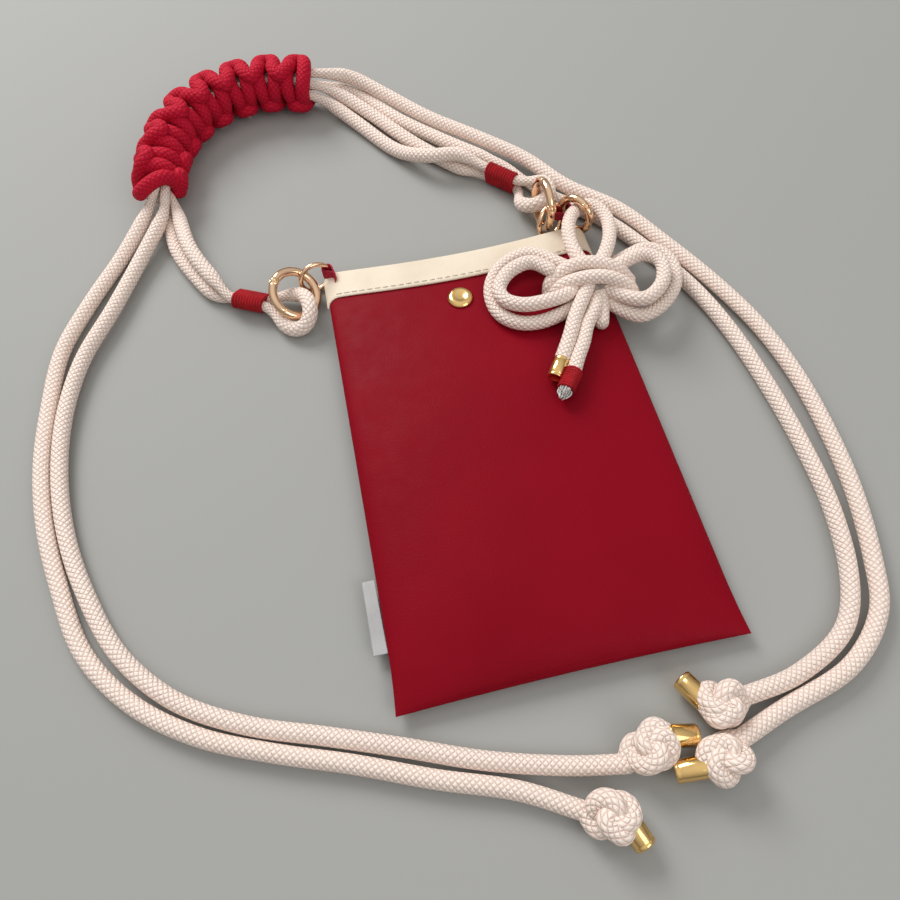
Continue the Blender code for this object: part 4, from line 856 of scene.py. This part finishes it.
for side, (centre, normal, radius, wire, hinge, free) in RINGS.items():
    way = 1.0 if free > hinge else -1.0
    per_mm = math.degrees(1.0 / radius) * way
    n = normal_rows(np.array(normal))
    pivot = ring_place(centre, normal, radius, hinge)[0]
    stop = free - 0.25 * per_mm
    body_arc = np.linspace(hinge - 1.0 * per_mm, free + 0.45 * per_mm - way * 360.0, 120)
    gate_arc = np.linspace(hinge + 1.5 * per_mm, stop, 50)
    ring_arc = tube(ring_place(centre, normal, radius, body_arc), wire * MM, 28, 0.45)
    cheek = [
        (0.05, -0.4), (wire - 0.3, -0.4), (wire - 0.08, -0.2), (wire, 0.1), (wire - 0.25, 0.4), (1.0, 0.52),
        (0.05, 0.55),
    ]
    cheeks = [turned(cheek, pivot + m * (wire - 0.5) * MM, m, 32) for m in (n, -n)]
    piece("ring_body_" + side, [ring_arc] + cheeks, ROSE_METAL, [side + "_gate_ring"])
    half = wire - 0.95
    tongue = [(0.05, -half), (wire - 0.4, -half), (wire - 0.15, 0.0), (wire - 0.4, half), (0.05, half)]
    link_arc = hinge + np.linspace(0.2, 2.4, 8) * per_mm
    shapes = [
        tube(ring_place(centre, normal, radius, gate_arc), wire * MM * 0.97, 28, 0.5),
        turned(tongue, pivot, n, 32),
        tube(ring_place(centre, normal, radius, link_arc), half * MM, 20, 0.3),
    ]
    piece("ring_gate_" + side, shapes, ROSE_METAL, [side + "_gate"], side + "_gate_body")
    pin = [
        (0.05, -wire - 0.12), (0.5, -wire - 0.1), (0.62, -wire + 0.05), (0.62, wire - 0.05),
        (0.5, wire + 0.1), (0.05, wire + 0.12),
    ]
    piece("ring_pin_" + side, [turned(pin, pivot, n, 24)], GOLD_METAL, [side + "_gate_pin"])
for side, (centre, normal, radius, wire) in PLAIN_RINGS.items():
    arc = ring_place(centre, normal, radius, np.linspace(0, 360, 97)[:-1])
    out = normal_rows(arc - scaled(centre))
    n = normal_rows(np.array(normal))
    a = np.linspace(0, 2 * np.pi, 21)[:-1][None, :, None]
    grid = arc[:, None] + wire * MM * (np.cos(a) * out[:, None] + np.sin(a) * n)
    shape = grid_shape(grid, True, True, (False, False))
    piece("plain_ring_" + side, [shape], ROSE_METAL, [side + "_tab_ring"])

# %% [markdown]
# ## Pouch leather
#
# The pouch is two leather panels sewn together inside out and turned, so its sides are folds and it stands
# a little open. The front is an oval section over the seam, the back is flat with rounded edges. Both are
# functions of a place across and a place along. Slow swells and short puckers by the side seams are added
# along the surface's own height, because real leather is never a clean sheet.

# %% Panel surfaces
SEAM_Z = 4.5
LEATHER_THICK = 1.2
HALF_BOTTOM, HALF_MOUTH = 58.0, 53.5
BOTTOM_Y, MOUTH_Y, MOUTH_RISE, MOUTH_CORNER = -87.0, 81.5, 6.5, 4.0
BULGE, BULGE_MOUTH, BOTTOM_ROUND = 8.5, 5.8, 0.22
BACK_EDGE, BACK_LIFT, LIFT_START, LIFT_LENGTH = 9.0, 1.3, 38.0, 12.0


def half_width(y):
    """Straight taper from bottom to mouth, with a small flare in the last eighth."""
    t = (y - BOTTOM_Y) / (MOUTH_Y + MOUTH_RISE - BOTTOM_Y)
    return HALF_BOTTOM - 1.0 + (HALF_MOUTH - HALF_BOTTOM + 1.0) * t + np.clip(1 - t / 0.12, 0, None) ** 2


def mouth_y(s):
    """The mouth's edge dips in the middle and its corners are rounded."""
    u = np.clip((np.abs(s) - 0.9) / 0.1, 0, 1)
    return MOUTH_Y + MOUTH_RISE * s * s - MOUTH_CORNER * (1 - np.sqrt(1 - u * u))


def bottom_y(s):
    """The bottom edge bows out by a millimetre in the middle of its run."""
    return BOTTOM_Y + 1.0 - 1.0 * s * s


def pucker(x, y, s):
    """Small height changes: broad swells, and short waves that die away from the side seams."""
    edge = (1 - np.abs(s)) * half_width(y)
    swell = 0.12 * np.sin(x / 17.0 + 0.8) * np.sin(y / 29.0 + 1.1) + 0.05 * np.sin(x / 9.0 - y / 21.0)
    waves = 0.14 * np.exp(-edge / 7.0) * np.sin(y / 2.6 + 1.6 * np.sin(y / 13.0) + 3.0 * s)
    return (swell + waves) * np.clip(edge / 3.0, 0, 1)


def front_at(s, y, depth=0.0):
    """Section over the seam: x = half width times s, z = seam + height times root(1 - s squared)."""
    low = bottom_y(s)
    r = (y - low) / (mouth_y(s) - low)
    inner = (y - low - depth) / (mouth_y(s) - low)
    height = BULGE + (BULGE_MOUTH - BULGE) * eased((r - 0.5) / 0.5)
    q = 1 - np.clip(inner / BOTTOM_ROUND, 0, 1)
    rise = (height - depth) * np.sqrt(np.clip(1 - q * q, 0, None))
    x = (half_width(y) - depth) * s
    z = SEAM_Z + (rise + pucker(x, y, s) * (rise > 2.0)) * np.sqrt(np.clip(1 - s * s, 0, None))
    return np.stack(np.broadcast_arrays(x, y, z), axis=-1) * MM


def back_at(u, y, depth=0.0):
    """Flat back whose edges round up to the seam and which lifts a little near the mouth."""
    hw = half_width(y) - depth
    x = hw * u
    ex = 1 - np.clip((hw - np.abs(x)) / BACK_EDGE, 0, 1)
    ey = 1 - np.clip((y - bottom_y(u) - depth) / BACK_EDGE, 0, 1)
    lift = BACK_LIFT * eased((y - LIFT_START) / LIFT_LENGTH)
    z = SEAM_Z - (SEAM_Z - lift - depth) * np.sqrt(1 - ex * ex) * np.sqrt(1 - ey * ey)
    return np.stack(np.broadcast_arrays(x, y, z), axis=-1) * MM


def closed_panel(place, s, ratio):
    """Outer face up, inner face down, the loop closed at mouth and bottom, and the two side ends filled."""
    faces = []
    for depth, order in ((0.0, ratio), (LEATHER_THICK, ratio[::-1])):
        low = bottom_y(s)[None] + depth
        y = low + order[:, None] * (mouth_y(s)[None] - low)
        faces.append(place(np.broadcast_to(s[None], y.shape), y, depth))
    grid = np.vstack(faces)
    n = len(ratio)
    x, y = grid[..., 0], grid[..., 1]
    uv = np.stack([np.vstack([x, x[:1]]), np.vstack([y, y[:1]])], axis=-1)
    points, quads, triangles, quad_uv, triangle_uv = grid_shape(grid, False, True, (False, False), uv)
    number = np.arange(2 * n * len(s)).reshape(2 * n, len(s))
    for column, flip in ((0, False), (-1, True)):
        up, down = number[:n, column], number[n:, column][::-1]
        wall = np.stack([up[:-1], up[1:], down[1:], down[:-1]], axis=1)
        quads = np.vstack([quads, wall[:, ::-1] if flip else wall])
        quad_uv = np.vstack([quad_uv, np.zeros((n - 1, 4, 2))])
    return points, quads, triangles, quad_uv, triangle_uv


s_front = np.sin(np.radians(np.linspace(-90, 90, 141)))
s_edge = -1 + 0.17 * (1 - np.cos(np.linspace(0, np.pi / 2, 22)))
s_back = np.concatenate([s_edge, np.linspace(-0.82, 0.82, 40), -s_edge[::-1]])
ratio = np.concatenate([0.24 * (1 - np.cos(np.linspace(0, np.pi / 2, 46))), np.linspace(0.245, 1.0, 130)])
piece("leather_front", [closed_panel(front_at, s_front, ratio)], LEATHER, ["front_panel"])
piece("leather_back", [closed_panel(back_at, s_back, ratio)], LEATHER, ["back_panel"])

# %% [markdown]
# ## Tape at the mouth
#
# The raw edge at the mouth is bound with a cream tape folded over it and sewn down by a row of stitches
# near its lower edge. The fold is a small loop in section, given as steps along the pouch and depths
# through the leather, and carried across the front and the back.

# %% Mouth tape and its stitches
TAPE_LEG = 12.0
TAPE_THICK = 0.7
TAPE_GAP = 0.12


def folded_tape(place, s):
    """Section loop: down the outside, over the edge, down the inside, and back along the leather."""
    near, out = -TAPE_GAP, -(TAPE_GAP + TAPE_THICK)
    deep = LEATHER_THICK + TAPE_GAP
    inner = deep + TAPE_THICK
    leg = np.linspace(-TAPE_LEG, 0.0, 14)
    ridge = out - 0.12 * np.exp(-((leg + TAPE_LEG - 1.2) / 1.2) ** 2)
    bend = np.linspace(0, np.pi, 12)[1:-1]
    mid, half = LEATHER_THICK / 2, inner - LEATHER_THICK / 2
    over = np.stack([half * 0.55 * np.sin(bend), mid - half * np.cos(bend)], axis=1)
    under = np.stack([half * 0.2 * np.sin(bend[::-1]), mid - (mid - near) * np.cos(bend[::-1])], axis=1)
    rim = [(-TAPE_LEG - 0.18, 0.5 * (near + out))]
    back_rim = [(-TAPE_LEG - 0.15, 0.5 * (deep + inner))]
    legs = [
        np.stack([steps, np.broadcast_to(depth, steps.shape)], axis=1)
        for steps, depth in ((leg, ridge), (leg[::-1], inner), (leg, deep), (leg[::-1], near))
    ]
    loop = np.vstack([rim, legs[0], over, legs[1], back_rim, legs[2], under, legs[3]])
    grid = np.stack([place(s, mouth_y(s) + step, depth) for step, depth in loop])
    run = np.cumsum(np.concatenate([[0.0], np.hypot(*np.diff(loop, axis=0).T)])) * MM
    run = np.concatenate([run, [run[-1] + 0.5 * MM]])
    x = half_width(80.0) * s * MM
    uv = np.stack(np.meshgrid(run, x, indexing="ij"), axis=-1)
    return grid_shape(grid.transpose(1, 0, 2), True, False, (True, True), uv.transpose(1, 0, 2))


STITCH_PITCH = 3.0
STITCH_LONG = 2.3
STITCH_THICK = 0.6
STITCH_REACH = 0.93
STITCH_ABOVE_EDGE = 1.5


def stitches(place, reach, depth):
    """Short rounded threads laid end to end, each dipping into the tape at its two ends."""
    count = int(2 * reach * HALF_MOUTH / STITCH_PITCH)
    shapes = []
    for k in range(count):
        middle = -reach + (k + 0.5) * 2 * reach / count
        s = middle + np.linspace(-0.5, 0.5, 7) * STITCH_LONG / HALF_MOUTH
        dip = 0.3 * (2 * np.linspace(-0.5, 0.5, 7)) ** 4
        path = place(s, mouth_y(s) - TAPE_LEG + STITCH_ABOVE_EDGE, depth + dip)
        shapes.append(tube(path, STITCH_THICK / 2 * MM, 8))
    return shapes


tape_face = -(TAPE_GAP + TAPE_THICK) - 0.08
s_tape = {"front": np.sin(np.radians(np.linspace(-89, 89, 161))), "back": np.linspace(-0.995, 0.995, 161)}
TAPE_SIDES = {"front": (front_at, tape_face), "back": (back_at, tape_face + 0.15)}
for side, (place, depth) in TAPE_SIDES.items():
    piece("tape_" + side, [folded_tape(place, s_tape[side])], TAPE, [side + "_binding"])
for side, (place, depth) in TAPE_SIDES.items():
    piece("topstitch_" + side, stitches(place, STITCH_REACH, depth), STITCH)

# %% [markdown]
# ## Snap, label and webbing loops
#
# The snap's four pieces are turned shapes like the cups. The label is a bare strip folded in two and sewn
# into the left seam. Each webbing loop is a strip that leaves the mouth's corner, goes round its ring and
# comes back.

# %% Snap fastener
SNAP_X, SNAP_Y = -3.5, 60.2
snap_s = np.array([SNAP_X / half_width(np.array(SNAP_Y))])
near = 0.4
at = front_at(snap_s, np.array([SNAP_Y]))[0]
right = front_at(snap_s + 0.01, np.array([SNAP_Y]))[0]
along = front_at(snap_s, np.array([SNAP_Y + near]))[0]
snap_way = normal_rows(np.cross(right - at, along - at))
cap = [
    (0.05, 1.15), (1.0, 1.17), (1.9, 1.28), (2.5, 1.5), (3.1, 1.62), (3.7, 1.55), (4.3, 1.25), (4.75, 0.85),
    (5.0, 0.5), (4.98, 0.3), (4.8, 0.12), (1.0, 0.1), (0.95, -1.6), (0.05, -1.62),
]
gold_piece("snap_front_cap", cap, at, snap_way, "snap_cap", 64)
r = 4.75
socket = [
    (0.05, -2.0), (1.4, -2.0), (1.4, -1.6), (r - 0.2, -1.55), (r, -1.7), (r, -2.2), (4.3, -2.6), (3.4, -3.65),
    (3.2, -3.7), (2.6, -3.7), (2.45, -3.5), (2.45, -2.4), (0.05, -2.35),
]
gold_piece("snap_inner_socket", socket, at, snap_way, "snap_socket")
inner = BACK_LIFT + LEATHER_THICK
stud = [
    (0.05, inner + 2.5), (1.2, inner + 2.45), (1.8, inner + 2.2), (2.0, inner + 1.8), (1.85, inner + 1.3),
    (1.9, inner + 1.0), (4.5, inner + 0.8), (r, inner + 0.6), (r, inner + 0.35), (0.9, inner + 0.3),
    (0.9, BACK_LIFT + 0.3), (0.05, BACK_LIFT + 0.3),
]
base = scaled((SNAP_X, SNAP_Y, 0.0))
gold_piece("snap_inner_stud", stud, base, UP, "snap_stud")
back_cap = [
    (0.05, 1.0), (4.9, 1.0), (5.0, 0.85), (4.95, 0.6), (4.4, 0.3), (3.6, 0.12), (2.0, 0.06), (0.05, 0.05),
]
gold_piece("snap_rear_cap", back_cap, base, UP, "snap_back_cap", 64)

# %% Side label and webbing loops


def strip(path, across, width, thick):
    """A flat band of even thickness: at each station a rounded rectangle across the path."""
    tangent = normal_rows(np.gradient(path, axis=0))
    across = normal_rows(across - tangent * np.sum(across * tangent, axis=1, keepdims=True))
    up = np.cross(tangent, across)
    a = np.linspace(0, 2 * np.pi, 41)[:-1]
    flat = np.sign(np.cos(a)) * np.abs(np.cos(a)) ** 0.35
    high = np.sign(np.sin(a)) * np.abs(np.sin(a)) ** 0.6
    wide = width / 2 * flat[None, :, None] * across[:, None]
    grid = path[:, None] + wide + thick / 2 * high[None, :, None] * up[:, None]
    run = np.broadcast_to(travelled(path)[:, None], (len(path), 41))
    over = np.broadcast_to(np.concatenate([flat, flat[:1]]) * width / 2, run.shape)
    return grid_shape(grid, True, False, (True, True), np.stack([run, over], axis=-1))


LABEL_Y, LABEL_WIDE, LABEL_THICK, LABEL_TURN = -54.5, 25.0, 0.34, math.radians(1.3)
label_x = -float(half_width(np.array(LABEL_Y))) - 0.3
fold = np.array([
    (0.0, 4.0), (-2.0, 3.93), (-3.7, 3.86), (-4.25, 3.98), (-4.4, 4.2), (-4.25, 4.42), (-3.7, 4.55),
    (-2.0, 4.47), (0.0, 4.4),
])
label_path = scaled(np.stack([label_x + fold[:, 0], np.full(len(fold), LABEL_Y), fold[:, 1]], axis=1))
label_path = stations(label_path, 0.25 * MM)
label_side = np.broadcast_to((math.sin(LABEL_TURN), math.cos(LABEL_TURN), 0.0), label_path.shape)
shape = strip(label_path, label_side, LABEL_WIDE * MM, LABEL_THICK * MM)
piece("seam_label", [shape], LABEL, ["side_label"])

WEBBING_THICK = 0.75
LEG_GAP = 0.42
TABS = {
    "left": ((-51.75, 88.4, 7.4), (-0.05, 0.17, 0.98), 2.1, (-47.6, 82.6, 4.5), (-46.4, 80.9, 4.5), 4.8),
    "right": ((48.0, 96.4, 7.4), (-0.2, 0.35, 0.915), 4.05, (49.4, 88.0, 4.7), (49.5, 81.5, 4.5), 3.8),
}
for side, (middle, axis, r, root, end, width) in TABS.items():
    middle, root, end = (np.array(p, float) for p in (middle, root, end))
    w = normal_rows(np.array(axis))
    toward = normal_rows((root - middle) - w * np.dot(root - middle, w))
    other = np.cross(w, toward)
    turns = np.radians(np.linspace(62, 298, 34))[:, None]
    loop = middle + r * (np.cos(turns) * toward + np.sin(turns) * other)
    rise = LEG_GAP * np.array(UP)
    neck = middle + toward * (r + 1.0)
    go = np.vstack([
        end + rise, root + rise, neck + other * 0.45, loop, neck - other * 0.45, root - rise, end - rise,
    ])
    path = softened(even(go, 0.4), 10)
    far = np.linalg.norm(path - middle, axis=1)[:, None]
    blend = np.clip((far - r - 1.0) / 4.5, 0, 1)
    level = normal_rows(np.cross(normal_rows(end - root), UP))
    level = level * (-1.0 if np.dot(level, other) > 0 else 1.0)
    widths = w * (1 - blend) + level * blend
    shape = strip(scaled(path), widths, width * MM, WEBBING_THICK * MM)
    piece("webbing_loop_" + side, [shape], WEBBING, [side + "_tab"])

# %% [markdown]
# ## Cord bow
#
# The bow hangs on the third ring by a doubled strand. It has two loops on each side, two tails, and bands
# of the same cord wound over its middle. A short third end shows beside the tails. One tail ends in a gold
# ferrule, the other in red thread with white fibres showing past it.

# %% Bow loops and tails
BOW_WIDTH = 5.5 * MM
TAIL_HIDDEN = 5.0
bow_paths = {}
for name in [n for n in ROUTES if n.startswith("bow_")]:
    path = cord_route(ROUTES[name], 0.7 * MM)
    if name.endswith("tail"):
        back = normal_rows(path[0] - path[4])
        path = np.vstack([path[0] + back * np.linspace(TAIL_HIDDEN, 0.7, 7)[:, None] * MM, path])
    bow_paths[name] = path
    cord_piece("dressed_" + name, path, BOW_WIDTH, name)

# %% Bow knot
BOW_CENTRE = (46.5, 53.0, 14.5)
BOW_CORE = (12.0, 8.0, 4.6)
BOW_BANDS = {
    "upper": [
        (30.2, 53.9, 12), (31.7, 56.2, 16), (40, 58, 20), (48.6, 56.4, 21), (56.1, 53.4, 19),
        (60.7, 50.6, 14),
    ],
    "lower": [
        (30.7, 51.6, 12), (35.1, 52.3, 17), (43.6, 50.9, 20.5), (51.5, 48.9, 20.5), (58.6, 45.8, 17),
        (60.5, 44.1, 13),
    ],
}
SHORT_END = [
    (49.5, 50.5, 15.5), (48.3, 46.5, 14.6), (47.5, 42.1, 13.0), (46.6, 38.4, 12.2), (45.6, 35.6, 11.8),
]
along_bow = normal_rows(np.array((0.95, -0.3, 0.0)))
bow_axes = np.array((along_bow, np.cross(UP, along_bow), UP))
shapes = [ellipsoid(scaled(BOW_CENTRE), bow_axes, scaled(BOW_CORE))]
for points, times in ((BOW_BANDS["upper"], 6), (BOW_BANDS["lower"], 6), (SHORT_END, 0)):
    shapes.append(tube(cord_route(points, 0.5 * MM, times), BOW_WIDTH / 2, CORD_SIDES))
piece("wound_bow_middle", shapes, CORD_WEAVE, ["bow_knot"])


def tail_end(name):
    """Place just past a tail's end, and the way it points."""
    path = bow_paths[name]
    way = normal_rows(path[-1] - path[-5])
    return path[-1] + way * 0.3 * MM, way


place, way = tail_end("bow_left_tail")
ferrule = [
    (0.05, -1.6), (2.6, -1.6), (2.8, -1.45), (2.9, -1.2), (2.9, -0.7), (2.78, -0.5), (2.9, -0.3), (2.9, 5.7),
    (2.78, 5.9), (2.9, 6.1), (2.85, 6.5), (2.6, 6.75), (2.3, 6.8), (2.1, 6.5), (0.05, 6.4),
]
gold_piece("bow_gold_ferrule", ferrule, place, way, "bow_ferrule")
place, way = tail_end("bow_right_tail")
WRAP_TURN = math.radians(-8.0)
way = np.array((
    way[0] * math.cos(WRAP_TURN) - way[1] * math.sin(WRAP_TURN),
    way[0] * math.sin(WRAP_TURN) + way[1] * math.cos(WRAP_TURN), way[2],
))
side = normal_rows(np.cross(way, UP))
place = place - way * 0.6 * MM
WRAP_FROM, WRAP_TO, TUFT_FROM = 0.8, 8.2, 7.8
ends = place - way * WRAP_FROM * MM, place + way * WRAP_TO * MM
shape = wound_shape(*ends, side, 0.25 * MM, 2.95 * MM, 8, 0.36 * MM)
piece("bow_thread_wrap", [shape], THREAD, ["bow_tail_wrap"])
FIBRES = 44
TUFT_RADIUS = 2.1
FIBRE_RADIUS = 0.34 * MM
rng = np.random.default_rng(7)
tuft = []
for k in range(FIBRES):
    a = 2.4 * k
    ring = TUFT_RADIUS * math.sqrt((k + 0.5) / FIBRES)
    across = math.cos(a) * side + math.sin(a) * np.cross(way, side)
    spread = 1.0 + 0.35 * rng.random()
    t = np.linspace(0, 1, 8)[:, None]
    reach = (2.0 + 2.6 * rng.random() - 0.5 * ring / TUFT_RADIUS) * MM
    swing = across * ring * MM * (1 + (spread - 1) * np.sin(np.pi * t) - 0.28 * t**2)
    path = place + way * (TUFT_FROM * MM + reach * t) + swing
    tuft.append(tube(path, FIBRE_RADIUS * (1 - 0.25 * t[:, 0]), 10))
piece("bow_frayed_tip", tuft, FRAYED, ["bow_tail_tip"])

# %% The bow's cords: tail facts, end pieces and lengths, worked out and not kept
TAIL_FACTS = {
    "bow_left_tail": ("fitting", ["bow_gold_ferrule"]),
    "bow_right_tail": ("bare", ["bow_thread_wrap", "bow_frayed_tip"]),
}
for name, path in bow_paths.items():
    far, end_names = TAIL_FACTS.get(name, ("object", []))
    extra = [bpy.data.objects[end_name] for end_name in end_names]
    long = max(float(travelled(path)[-1]), 30.0 * MM)
